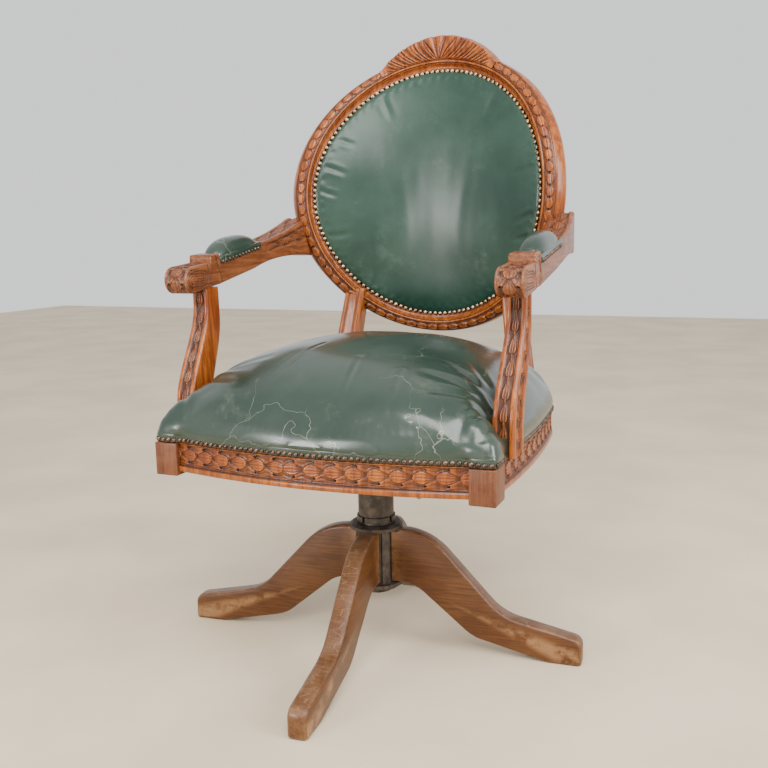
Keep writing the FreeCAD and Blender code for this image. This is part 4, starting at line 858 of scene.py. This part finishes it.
def cushionPoint(turn, part):
    reach = rimReach(turn)
    way = Vector((math.cos(turn), math.sin(turn)))
    if part < 0.60:
        share = math.sin(part / 0.60 * math.pi / 2) ** 0.92 * (1 - 0.0135 / reach)
        x, y = way * share * reach
        y += seat["centre"]
        return Vector((x, y, max(seatTop(x, y), seat["low"] + 0.0262)))
    if part < 0.82:
        inset, high = follow(rollKnots, (part - 0.60) / 0.22)
        x, y = way * (reach - inset)
        return Vector((x, y + seat["centre"], seat["low"] + high))
    share, high = follow(wellKnots, (part - 0.82) / 0.18)
    x, y = way * share * reach
    return Vector((x, y + seat["centre"], seat["low"] + high))


seatCreases = [      # from, to (across, from the axis to the rear), depth, half width
    ((0.235, -0.150), (0.150, -0.190), 0.0035, 0.008), ((0.238, -0.135), (0.130, -0.140), 0.0030, 0.009),
    ((0.238, -0.112), (0.140, -0.080), 0.0032, 0.009), ((0.236, -0.100), (0.180, -0.030), 0.0026, 0.008),
    ((0.250, -0.175), (0.215, -0.232), 0.0030, 0.006), ((0.262, -0.190), (0.255, -0.235), 0.0022, 0.005),
    ((-0.235, -0.150), (-0.150, -0.190), 0.0030, 0.008), ((-0.238, -0.125), (-0.120, -0.120), 0.0030, 0.009),
    ((-0.238, -0.105), (-0.150, -0.060), 0.0032, 0.009), ((-0.250, -0.175), (-0.225, -0.235), 0.0026, 0.006),
    ((-0.150, 0.050), (0.060, 0.090), 0.0016, 0.010), ((-0.190, -0.020), (-0.060, 0.020), 0.0014, 0.009),
    ((0.030, -0.120), (0.045, -0.225), 0.0016, 0.004), ((0.110, -0.150), (0.125, -0.235), 0.0014, 0.004),
    ((-0.060, -0.060), (-0.085, -0.200), 0.0010, 0.004)]


def heldSeat(co):
    inWell = co.z < seat["low"] + 0.0665 and abs(co.x) < 0.2 and abs(co.y) < 0.2
    return 1.0 if co.z < seat["low"] or inWell and co.z < seatTop(co.x, co.y) - 0.02 else 0.0


def postDent(x, y):
    foot = Vector((max(0, 0.251 - abs(x)), max(0, -0.160 - y, y + 0.104)))
    stump = Vector((max(0, 0.163 - abs(x), abs(x) - 0.209), max(0, 0.252 - y)))
    return 0.016 * bell(foot.length, 0.016) + 0.012 * bell(stump.length, 0.012)


def makeSeat():
    bm = ballMesh(192, 96, cushionPoint)
    leather = addPiece("seat_leather", bm, seatLeather, "seat", ["seat_cushion"])
    swell(leather, 0.0066, 0.007, heldSeat, 4.0, 8)
    rollTop = seat["low"] + 0.012
    for vert in leather.data.vertices:
        x, y, z = vert.co
        if z > rollTop and z > seatTop(x, y) - 0.05:
            slack = noise.noise(Vector((x * 7, y * 7, 0.4))) * 0.003
            slack += noise.noise(Vector((x * 22, y * 16, 2))) * 0.0011
            turn = math.atan2(y - seat["centre"], x)
            share = math.hypot(x, y - seat["centre"]) / rimReach(turn)
            pleat = 0.0003 * math.sin(turn * 150) * ease(0.95, 1.0, share)
            fade = ease(rollTop, seat["low"] + 0.022, z)
            vert.co.z += fade * (slack - creaseDepth(seatCreases, x, y) - pleat) - fade * postDent(x, y)


def alongRim(distance, outset):
    total = 0.0      # point and outward direction at a distance along the right half of the seat edge
    for (x0, y0), (x1, y1) in zip(rimPoints, rimPoints[1:]):
        length = math.hypot(x1 - x0, y1 - y0)
        if total + length >= distance or (x1, y1) == rimPoints[-1]:
            part = min(1, (distance - total) / length)
            out = Vector(((y1 - y0) / length, -(x1 - x0) / length, 0))
            return Vector((mix(x0, x1, part), mix(y0, y1, part), 0)) + out * outset, out
        total += length


rimLength = sum(math.dist(a, b) for a, b in zip(rimPoints, rimPoints[1:]))


bandKnots = [      # out from the rim, height
    (0.0, 0.4030), (0.0, 0.3856), (0.0006, 0.3850), (0.0013, 0.3856), (0.0017, 0.3900), (0.0024, 0.3935),
    (0.0024, 0.3975), (0.0008, 0.4010), (0.0, 0.4030)]


def makeBand():
    def place(u, v):
        side = -1 if u < 0.5 else 1
        spot, out = alongRim(abs(u * 2 - 1) * rimLength, 0)
        outset, z = follow(bandKnots, v)
        spot += out * (outset - 0.0008)
        return Vector((side * spot.x, spot.y, z))

    bm = gridMesh(560, 16, place)
    bmesh.ops.remove_doubles(bm, verts=bm.verts, dist=0.0001)
    band = addPiece("seat_leather_edge", bm, seatLeather, "seat")


def makeSeatNails():
    spots = []
    count = int(rimLength / seat["pitch"])
    for side in (-1, 1):
        for k in range(count + 1):
            spot, out = alongRim(max(0.0001, (k + 0.5) * rimLength / (count + 1)), 0.0010)
            behindPost = -0.166 < spot.y < -0.098 and spot.x > 0.2
            if behindPost or spot.y > 0.2845 and spot.x > 0.157:
                continue
            high = seat["nailHeight"] + random.uniform(-0.0004, 0.0004)
            normal = Vector((side * out.x, out.y, 0.1)).normalized()
            spots.append((Vector((side * spot.x, spot.y, high)), normal))
    addPiece("seat_nails", domes(spots, 0.0043, 0.0030), bronzeNails, "seat")


makeSeat()
makeBand()
makeSeatNails()
print("seat made")


# Carved rails: running leaves that overlap, with a drilled hole where side leaves end

rails = {"pitch": 0.033, "sidePitch": 0.0385, "turnOver": -0.037, "relief": 0.0046,
         "fieldLow": 0.3500, "fieldHigh": 0.3828, "fieldRows": 34, "halfFront": 0.240, "bow": 0.030}


def petalWidth(p, first, full, turn, tip, grown):
    if p < turn:
        return mix(first, full, ease(0, grown, p))
    return full * math.sqrt(max(0, 1 - ((p - turn) / tip) ** 2))


def runningLeaf(p, t):
    a = abs(t)
    wide = petalWidth(p, 0.14, 0.56, 0.62, 0.37, 0.62)
    if a < wide:
        dome = math.sqrt(1 - (a / wide) ** 2)
        height = mix(0.05, 1.0, p ** 0.8) * (0.62 + 0.38 * dome)
        rib = 0.50 * bell(a, 0.045) * ease(0.99, 0.85, p)
        vein = 0.42 * bell(a - wide * 0.58, 0.045) * ease(0.97, 0.8, p)
        return height - rib - vein
    q = (p + 0.52 - 0.30 * (a - wide)) % 1      # side leaves lean outward
    span = (a - wide) / max(0.05, 1 - wide)
    if math.hypot((q - 0.93) * 1.9, a - 0.74) < 0.12:
        return -1.2
    height = mix(-0.15, 0.72, q) * math.sqrt(max(0, 1 - ((span - 0.5) / 0.52) ** 2))
    vein = 0.35 * bell(span - 0.5, 0.13) * ease(0.9, 0.6, q)
    gap = 0.6 * bell(a - wide, 0.05)
    return (height - vein - gap) * ease(1.0, 0.93, a)


railProfile = [      # into the thickness, height
    (0.034, 0.338), (0.018, 0.338), (0.0012, 0.338), (0.0002, 0.3392), (0.0, 0.3430), (0.0002, 0.3462),
    (0.0022, 0.3468), (0.0024, 0.3490), (0.0006, 0.3496)]
railProfile += [(0.0006, mix(rails["fieldLow"], rails["fieldHigh"], k / rails["fieldRows"]))
                for k in range(rails["fieldRows"] + 1)]
railProfile += [
    (0.0002, 0.3832), (0.0012, 0.3840), (0.0031, 0.3840), (0.0031, 0.3935), (0.0031, 0.4030), (0.018, 0.4030),
    (0.034, 0.4030), (0.034, 0.370), (0.034, 0.338)]


def railRelief(run, z, pitch):
    t = (z - rails["fieldLow"]) / (rails["fieldHigh"] - rails["fieldLow"]) * 2 - 1
    return 1 if abs(t) > 1 else runningLeaf(1 - (run / pitch) % 1, t)


def frontPath(share):
    half = rails["halfFront"]
    x = mix(-half, half, share)
    y = -0.226 - rails["bow"] * (1 - (x / half) ** 2)
    out = Vector((-2 * rails["bow"] * x / half ** 2, -1, 0)).normalized()
    return Vector((x, y, 0)), out, abs(x - rails["turnOver"])


def sidePath(share):
    y = mix(seat["railFront"], 0.285, share)
    step = 0.001
    slope = (seatHalf(min(0.284, y + step)) - seatHalf(max(-0.185, y - step))) / (2 * step)
    out = Vector((1, -slope, 0)).normalized()
    return Vector((seatHalf(max(-0.1859, y)) + seat["gap"], y, 0)), out, y + 0.186 + 0.012


def makeRail(name, path, stations, pitch, side, replaced):
    def place(u, v):
        spot, out, run = path(u)
        depth, z = nearest(railProfile, v)
        inField = depth < 0.0007 and rails["fieldLow"] <= z <= rails["fieldHigh"]
        height = railRelief(run, z, pitch) if inField else 1
        spot = spot - out * (depth + rails["relief"] * (1 - height) * 0.62)
        # painted shade in the groove under the top moulding and in the carving's hollows
        shadeAmount = 1 if 0.0020 < depth < 0.0026 else hollowOf(height - 0.1)
        return Vector((spot.x * side, spot.y, z)), shadeAmount

    bm = gridMesh(stations, len(railProfile) - 1, place)
    closeEnds(bm)
    return addPiece(name, bm, carvedWood, "seat", [replaced])


makeRail("carved_front_rail", frontPath, 440, rails["pitch"], 1, "front_rail")
for side, name in ((1, "right"), (-1, "left")):
    makeRail("carved_side_rail_" + name, sidePath, 420, rails["sidePitch"], side, "side_rail_" + name)


sawnBlock = [      # middle and size of the stump, and of the part of it that the leather covers
    ((0.260, -0.209, 0.3575), (0.040, 0.046, 0.053)), ((0.2570, -0.2060, 0.3910), (0.034, 0.040, 0.019))]


def sideName(side):
    return "right" if side > 0 else "left"


def makeBlock(side):
    bm = bmesh.new()
    for (x, y, z), size in sawnBlock:
        matrix = Matrix.Translation((side * x, y, z)) @ Matrix.Diagonal((*size, 1))
        bmesh.ops.create_cube(bm, size=1, matrix=matrix)
    bmesh.ops.bevel(bm, geom=bm.edges[:], offset=0.0022, offset_type="OFFSET", affect="EDGES", segments=3,
                    profile=0.5, material=-1)
    name = sideName(side)
    block = addPiece("sawn_block_" + name, bm, blockWood, "seat", ["front_block_" + name])
    shadeByAngle(block)


for side in (1, -1):
    makeBlock(side)
print("rails made")


# Bars: a rounded rectangle carried along stations, with relief on its faces

def sectionSpots(counts, bend=3):
    spots = []      # face 0 looks out (+x), 1 up or back, 2 in, 3 down or front
    for face in range(4):
        spots += [(face, mix(-1, 1, k / counts[face]), 0) for k in range(counts[face] + 1)]
        spots += [(face, 1, k / bend) for k in range(1, bend)]
    return spots + [(0, -1, 0)]


def sectionPoint(spot, half, high, corner, lift):
    face, t, swing = spot
    corner = min(corner, half * 0.98, high * 0.98)
    a, b = half - corner, high - corner
    base = [(a, t * b), (-t * a, b), (-a, -t * b), (t * a, -b)][face]
    angle = (face + swing) * math.pi / 2
    return base[0] + math.cos(angle) * (corner + lift), base[1] + math.sin(angle) * (corner + lift)


def barMesh(stations, counts, corner, section, relief):
    spots = sectionSpots(counts)

    def place(u, v):
        spot, station = nearest(spots, u), nearest(stations, v)
        half, high, locate = section(station)
        # relief gives a lift and the painted shade for the hollows it cuts
        lift, shadeAmount = relief(station, spot[0], spot[1]) if spot[2] == 0 else (0, 0)
        return locate(*sectionPoint(spot, half, high, corner, lift)), shadeAmount

    bm = gridMesh(len(spots) - 1, len(stations) - 1, place)
    closeEnds(bm)
    return bm


def addBar(label, bm, material, side, replaced):
    if side < 0:
        bmesh.ops.scale(bm, vec=(-1, 1, 1), verts=bm.verts)
    name = sideName(side)
    addPiece(label + "_" + name, bm, material, "seat", [replaced + "_" + name])


def husk(p, t):
    a = abs(t)      # a hanging bell flower of three petals, and a bead over the next one
    wide = petalWidth(p, 0.16, 0.66, 0.72, 0.20, 0.6)
    height = 0
    if a < wide:
        petal = math.cos(math.pi * 1.5 * a / wide) ** 2
        height = mix(0.35, 1, ease(0, 0.75, p)) * (0.25 + 0.75 * petal)
    bead = math.hypot((p - 0.96) * 1.8, a)
    if bead < 0.17:
        height = max(height, 0.8 * math.sqrt(1 - (bead / 0.17) ** 2))
    return height


post = {"low": 0.384, "high": 0.619, "pitch": 0.031, "sunk": 0.0036, "relief": 0.0042, "outer": 0.286,
        "length": 0.260, "stations": 190, "corner": 0.0035}


def postSection(z):
    p = (z - post["low"]) / post["length"]
    wide = mix(0.035, 0.028, p)
    front = mix(-0.160, -0.099, ease(0.18, 0.80, p))
    rear = mix(-0.104, -0.061, ease(0.12, 0.72, p))
    middle = Vector((post["outer"] - wide / 2, (front + rear) / 2, z))
    return wide / 2, (rear - front) / 2, lambda x, y: middle + Vector((x, y, 0))


def postRelief(z, face, t):
    rim = 0.72 if face == 3 else 0.66
    if face in (1, 2) or abs(t) > rim:
        return 0, 0
    edge = ease(rim, rim - 0.09, abs(t))
    height = husk(((post["high"] - z) / post["pitch"]) % 1, t / rim)
    # the second value is painted shade in the sunk field round the husks
    return (post["relief"] * height - post["sunk"]) * edge, (1 - ease(0.0, 0.7, height)) * edge


def makePost(side):
    stations = [mix(post["low"], post["high"], k / post["stations"]) for k in range(post["stations"] + 1)]
    bm = barMesh(stations, (22, 6, 6, 26), post["corner"], postSection, postRelief)
    addBar("carved_post", bm, carvedWood, side, "arm_post")


arm = {"thick": 0.043, "middle": 0.2765, "knobRadius": 0.022, "knobY": -0.138, "knobZ": 0.634, "corner": 0.0036,
       "knobLeaf": 0.0262, "padWide": 0.0224, "padLong": 0.0675, "padMiddle": 0.0115, "nails": 12}
armTopRows = [      # along the arm, height of its top from the knob to the rear of the pad
    (-0.138, 0.656), (-0.0842, 0.661), (-0.0832, 0.673), (-0.0575, 0.675), (-0.0565, 0.666), (0.0795, 0.688),
    (0.0805, 0.691), (0.092, 0.692)]


def bedHeight(y):
    return mix(0.666, 0.688, (y + 0.0565) / 0.136)      # the sunk part of the arm that carries the pad


def armTop(y):
    if y < arm["knobY"]:
        return arm["knobZ"] + math.sqrt(max(0, arm["knobRadius"] ** 2 - (y - arm["knobY"]) ** 2))
    for (y0, z0), (y1, z1) in zip(armTopRows, armTopRows[1:]):
        if y <= y1:
            return mix(z0, z1, (y - y0) / (y1 - y0))
    t = (y - 0.092) / 0.158
    return mix(0.692, 0.741, t) - 4 * 0.0068 * t * (1 - t) - 0.014 * ease(0.236, 0.252, y)


def armLow(y):
    if y < arm["knobY"]:
        return arm["knobZ"] - math.sqrt(max(0, arm["knobRadius"] ** 2 - (y - arm["knobY"]) ** 2))
    if y < -0.062:
        return mix(0.612, 0.622, (y + 0.138) / 0.076)
    if y < 0.060:
        return mix(0.622, 0.644, (y + 0.062) / 0.122)
    t = (y - 0.060) / 0.190
    return mix(0.644, 0.661, t) + 4 * 0.0088 * t * (1 - t)


def armSection(y):
    top, low = armTop(y), armLow(y)
    turn = max(0, (y - 0.092) / 0.158)
    inner = 0.255 - 0.019 * turn ** 1.6
    outer = 0.298 - 0.013 * turn ** 1.6 - 0.008 * ease(0.232, 0.254, y)
    pinch = 0.0012 if -0.083 < y < -0.058 else 0
    middle = Vector(((inner + outer) / 2, y, (top + low) / 2))
    return (outer - inner) / 2 - pinch, max(0.0004, (top - low) / 2), lambda x, z: middle + Vector((x, 0, z))


def spiralGroove(y, z):
    along = max(-0.135, min(-0.112, y))
    gap = math.hypot(y - along, (z - arm["knobZ"]) * 1.15)
    turn = math.atan2(z - arm["knobZ"], along - y + 1e-9) / (2 * math.pi)
    lane = (gap / 0.0058 + turn) % 1
    return -0.0017 * bell(lane - 0.5, 0.13) * ease(0.0215, 0.0195, gap) * ease(0.001, 0.0025, gap)


def knobLeaf(run, across):
    if abs(across) > 0.84:
        return 0, 0
    height = runningLeaf((run / arm["knobLeaf"]) % 1, across / 0.84)
    fade = ease(0.84, 0.78, abs(across))
    # the second value is painted shade in the carving's hollows
    return 0.0030 * (height - 0.85) * fade, hollowOf(height) * fade


def armRelief(y, face, t):
    top, low = armTop(y), armLow(y)
    if face in (0, 2):
        z = (top + low) / 2 + (t if face == 0 else -t) * (top - low) / 2
        lift = spiralGroove(y, z) if y < -0.086 else 0
        lift -= 0.0018 * bell(y + 0.0880 + (z - arm["knobZ"]) * 0.25, 0.0012)
        lift -= 0.0015 * bell(y + 0.0535 + (z - arm["knobZ"]) * 0.35, 0.0012)
        # painted shade in the cut grooves, darker where they are deeper
        shadeAmount = min(1, -lift / 0.0013)
        if 0.100 < y < 0.238 and face == 2:
            high = (z - low) / (top - low)
            if 0.40 < high < 0.93:
                height = runningLeaf((y / 0.046) % 1, (high - 0.665) / 0.265)
                fade = math.sin(math.pi * (y - 0.100) / 0.138) ** 0.4
                fade = fade * ease(0.40, 0.46, high) * ease(0.93, 0.88, high)
                lift += 0.0030 * (height - 0.9) * fade
                shadeAmount = max(shadeAmount, hollowOf(height) * fade)
        return lift, shadeAmount
    if face == 1 and y < -0.088:
        return knobLeaf(-0.088 - y, t)
    if face == 1 and y > 0.094 and abs(t) < 0.80:
        height = runningLeaf((y / 0.048) % 1, t / 0.8)
        fade = ease(0.8, 0.7, abs(t)) * ease(0.094, 0.104, y)
        return 0.0028 * (height - 0.85) * fade, hollowOf(height) * fade
    return 0, 0


def knobPoint(u, v):
    turn = v * math.pi      # from the top round the front to the underside
    half, radius, corner = arm["thick"] / 2, arm["knobRadius"], arm["corner"]
    if u < 0.3 or u > 0.7:
        sign = -1 if u < 0.3 else 1
        r = (radius - corner) * (u if u < 0.3 else 1 - u) / 0.3
        y, z = arm["knobY"] - r * math.sin(turn), arm["knobZ"] + r * math.cos(turn)
        lift = spiralGroove(y, z)
        # painted shade in the spiral groove
        return Vector((arm["middle"] + sign * (half + lift), y, z)), min(1, -lift / 0.0013)
    t = (u - 0.3) / 0.4 * 2 - 1
    x = t * half
    over = abs(x) - (half - corner)
    r = radius - corner + (math.sqrt(max(0, corner ** 2 - over ** 2)) if over > 0 else corner)
    lift, shadeAmount = knobLeaf(0.050 + radius * turn, t)
    r += lift
    y, z = arm["knobY"] - r * math.sin(turn), arm["knobZ"] + r * math.cos(turn)
    return Vector((arm["middle"] + x, y, z)), shadeAmount


armSpans = [      # first, last, count of stations, close together at each step of the arm's top
    (-0.138, -0.0845, 48), (-0.0842, -0.0832, 2), (-0.0825, -0.058, 10), (-0.0575, -0.0565, 2),
    (-0.0555, 0.079, 40), (0.0795, 0.0805, 2), (0.0815, 0.250, 130)]


def makeArm(side):
    stations = [mix(first, last, k / count) for first, last, count in armSpans for k in range(count + 1)]
    bm = barMesh(stations, (26, 32, 26, 10), arm["corner"], armSection, armRelief)
    gridMesh(100, 64, knobPoint, bm)
    addBar("carved_arm", bm, armWood, side, "armrest")


padSide = [      # in from the side of the pad, height over the bed
    (0.0, 0.0045), (-0.0006, 0.0), (-0.0006, -0.0060), (0.0004, -0.0092), (0.0025, -0.0085), (0.0180, -0.0070)]


def armPadPoint(side, turn, part):
    share = math.sin(min(1, part / 0.55) * math.pi / 2)
    square = (abs(math.cos(turn)) ** 3.2 + abs(math.sin(turn)) ** 3.2) ** (-1 / 3.2)
    x = math.cos(turn) * square
    y = math.sin(turn) * square
    wide, long = arm["padWide"], arm["padLong"]
    bedY = arm["padMiddle"] + y * share * long
    bed = bedHeight(bedY)
    full = 0.022 * (1 - 0.20 * y * share)
    if part < 0.55:
        rise = full * max(0, 1 - share ** 2.6) ** 0.7 + 0.0045
        return Vector((side * (arm["middle"] + x * share * wide), bedY, bed + rise))
    inset, drop = follow(padSide, (part - 0.55) / 0.45)
    wide -= inset
    long -= max(inset, 0) * 0.4
    ends = ease(0.8, 1.0, abs(y)) if drop < 0 else 0
    high = bed + mix(drop, max(drop, 0.0004), ends)
    return Vector((side * (arm["middle"] + x * wide), arm["padMiddle"] + y * long, high))


armEdgeKnots = [      # leather that laps the sides of the arm: out from its middle, height over the bed
    (0.0214, -0.0090), (0.0226, -0.0094), (0.0230, -0.0050), (0.0230, 0.0), (0.0224, 0.0034), (0.0190, 0.0040),
    (0.0190, 0.0), (0.0214, -0.0090)]


def makeArmEdge(name, side):
    bm = bmesh.new()
    for sign in (-1, 1):
        def place(u, v):
            y = mix(-0.0555, 0.0785, u)
            x, high = nearest(armEdgeKnots, v)
            wave = 0.0009 * math.sin(u * 60) if high < -0.008 else 0
            return Vector((side * arm["middle"] + sign * x, y, bedHeight(y) + high + wave))

        gridMesh(60, 7, place, bm)
    closeEnds(bm)
    edge = addPiece("arm_leather_edge_" + name, bm, seatLeather, "seat")


def makeArmPad(side):
    name = sideName(side)
    bm = ballMesh(72, 44, lambda turn, part: armPadPoint(side, turn, part))
    pad = addPiece("arm_leather_" + name, bm, seatLeather, "seat", ["arm_pad_" + name])
    swell(pad, 0.0034, 0.003, lambda co: 1.0 if co.z < bedHeight(co.y) + 0.003 else 0.0)
    makeArmEdge(name, side)
    spots = []
    for k in range(arm["nails"]):
        y = mix(-0.048, 0.071, k / (arm["nails"] - 1))
        for sign in (-1, 1):
            spot = Vector((side * (arm["middle"] + sign * 0.0225), y, bedHeight(y) - 0.0062))
            spots.append((spot, Vector((side * sign, 0, 0))))
    addPiece("arm_nails_" + name, domes(spots, 0.0038, 0.0026), bronzeNails, "seat")


for side in (1, -1):
    makePost(side)
    makeArm(side)
    makeArmPad(side)
print("arms made")


def uprightSection(z):
    p = max(0, min(1, (z - 0.403) / 0.189))
    swing = 0.028 * p ** 1.1
    wide = mix(0.046, 0.041, p)
    deep = mix(0.044, 0.035, p)
    middle = Vector((0.2085 - swing - wide / 2, 0.2525 + swing + deep / 2, z))
    return wide / 2 - 0.0004, deep / 2 - 0.0004, lambda x, y: middle + Vector((x, y, 0))


def uprightRelief(z, face, t):
    if z < 0.41 or face not in (0, 3):
        return 0, 0
    line = bell(abs(t) - 0.66, 0.06)
    # a cut line, with painted shade along it
    return -0.0018 * line, 0.8 * line


def makeUpright(side):
    stations = [0.331, 0.350, 0.384] + [mix(0.402, 0.594, k / 40) for k in range(41)]
    bm = barMesh(stations, (16, 5, 5, 18), 0.005, uprightSection, uprightRelief)
    addBar("moulded_upright", bm, carvedWood, side, "rear_upright")


for side in (1, -1):
    makeUpright(side)


# Outside back: a thin padded leather panel with its own nails

rearPanel = {"share": 1.012, "outer": 0.0375, "puff": 0.0085, "nails": 120}


def rearPanelPoint(turn, part):
    if part < 0.6:
        share = math.sin(part / 0.6 * math.pi / 2)
        spot, out, into = backSpot(turn, share * rearPanel["share"])
        return spot + into * (rearPanel["outer"] + rearPanel["puff"] * max(0, 1 - share ** 2) ** 0.7)
    if part < 0.75:
        spot, out, into = backSpot(turn, rearPanel["share"])
        return spot + into * mix(rearPanel["outer"], 0.0363, (part - 0.6) / 0.15)
    spot, out, into = backSpot(turn, mix(rearPanel["share"], 0, (part - 0.75) / 0.25))
    return spot + into * 0.0362


def makeRearPanel():
    bm = ballMesh(120, 40, rearPanelPoint)
    panel = addPiece("outside_back_leather", bm, backLeather, "seat", ["back_panel_rear"])
    spots = []
    for k in range(rearPanel["nails"]):
        spot, out, into = backSpot(2 * math.pi * k / rearPanel["nails"])
        spots.append((spot - out * 0.001 + into * 0.0378, into))
    addPiece("outside_back_nails", domes(spots, 0.0042, 0.0026), brassNails, "seat")


makeRearPanel()


# Straps under the seat and the torn hessian that hangs by them

strap = {"apart": 0.105, "sides": (-0.025, -0.008, 0.008, 0.025, 0.025, 0.008, -0.008, -0.025, -0.025),
         "thick": 0.002, "acrossLow": 0.3676, "alongLow": 0.3651}


def makeStraps():
    for k in (-1, 0, 1):
        for crosswise in (False, True):
            reach = 0.242 if crosswise else 0.222
            last = reach if crosswise else 0.270
            low = strap["acrossLow"] if crosswise else strap["alongLow"]

            def place(u, v):
                run = mix(-reach, last, u)
                side = k * strap["apart"] + nearest(strap["sides"], v)
                z = low if int(round(v * 8)) < 4 or v == 1 else low + strap["thick"]
                return Vector((run, side, z) if crosswise else (side, run, z))

            bm = gridMesh(60, 8, place)
            closeEnds(bm)
            name = "strap_%s_%d" % ("across" if crosswise else "along", k + 2)
            ribbon = addPiece(name, bm, jute, "seat", ["webbing"] if not crosswise and k == 0 else [])


makeStraps()


def makeTornCloth():
    def place(u, v):
        x = mix(0.084, 0.192, u)
        tear = noise.noise(Vector((u * 7, 0, 7)))
        drop = mix(0.012, 0.053 - 0.010 * u + 0.009 * tear, v)
        fold = 0.006 * math.sin(u * 9 + 0.6) * v + 0.003 * noise.noise(Vector((u * 12, v * 4, 1)))
        return Vector((x, -0.112 + fold, 0.350 - drop))

    bm = gridMesh(54, 26, place)
    cloth = addPiece("torn_hessian", bm, jute, "seat", ["torn_webbing"])


makeTornCloth()
print("cloth made")


# Stage, light and camera

def makeStage():
    bm = bmesh.new()
    bmesh.ops.create_grid(bm, x_segments=1, y_segments=1, size=6)
    mesh = bpy.data.meshes.new("floor")
    bm.to_mesh(mesh)
    bm.free()
    floor = bpy.data.objects.new("floor", mesh)
    bpy.context.scene.collection.objects.link(floor)
    material, tree, shader, place = startMaterial("paleFloor", 0.75)
    stain = ramp(tree, addNoise(tree, place, Scale=3, Detail=6), 0.3, 0.7)
    color = blendColors(tree, stain, (0.60, 0.49, 0.345), (0.68, 0.57, 0.42))
    tree.links.new(color, shader.inputs["Base Color"])
    mesh.materials.append(material)


def addLight(name, place, target, wide, high, power, color=(1, 1, 1)):
    data = bpy.data.lights.new(name, "AREA")
    data.shape = "RECTANGLE"
    data.size = wide
    data.size_y = high
    data.energy = power
    data.color = color
    light = bpy.data.objects.new(name, data)
    bpy.context.scene.collection.objects.link(light)
    light.location = place
    light.rotation_euler = (Vector(target) - Vector(place)).to_track_quat("-Z", "Y").to_euler()


def makeLights():
    world = bpy.data.worlds.new("studio")
    bpy.context.scene.world = world
    world.use_nodes = True
    sky = world.node_tree.nodes["Background"]
    sky.inputs["Color"].default_value = (0.97, 0.98, 1.0, 1)
    sky.inputs["Strength"].default_value = 1.12
    addLight("window", (-1.35, -2.9, 0.95), (0, 0.2, 0.72), 0.9, 0.8, 62, (1.0, 0.98, 0.95))
    addLight("ceiling", (0.9, -2.4, 3.0), (0, 0, 0.5), 2.4, 1.8, 165, (1.0, 0.985, 0.96))
    addLight("side", (2.9, -0.6, 1.7), (0, 0, 0.6), 1.4, 1.6, 95)


def makeCamera():
    view = {"azimuth": 22.9407, "elevation": 9.4767, "roll": -1.04, "distance": 1.5686,
            "target": (0.019, 0, 0.4541), "focal": 935.4, "frame": 768}
    az, el, roll = (math.radians(view[key]) for key in ("azimuth", "elevation", "roll"))
    forward = Vector((-math.sin(az) * math.cos(el), math.cos(az) * math.cos(el), -math.sin(el)))
    right = Vector((math.cos(az), math.sin(az), 0))
    up = right.cross(forward)
    rolledRight = right * math.cos(roll) + up * math.sin(roll)
    rolledUp = up * math.cos(roll) - right * math.sin(roll)
    matrix = Matrix((rolledRight, rolledUp, -forward)).transposed().to_4x4()
    matrix.translation = Vector(view["target"]) - forward * view["distance"]
    data = bpy.data.cameras.new("camera")
    data.sensor_width = 36
    data.lens = view["focal"] / view["frame"] * data.sensor_width
    camera = bpy.data.objects.new("camera", data)
    bpy.context.scene.collection.objects.link(camera)
    camera.matrix_world = matrix
    bpy.context.scene.camera = camera


makeStage()
makeLights()
makeCamera()
print("scene ready")
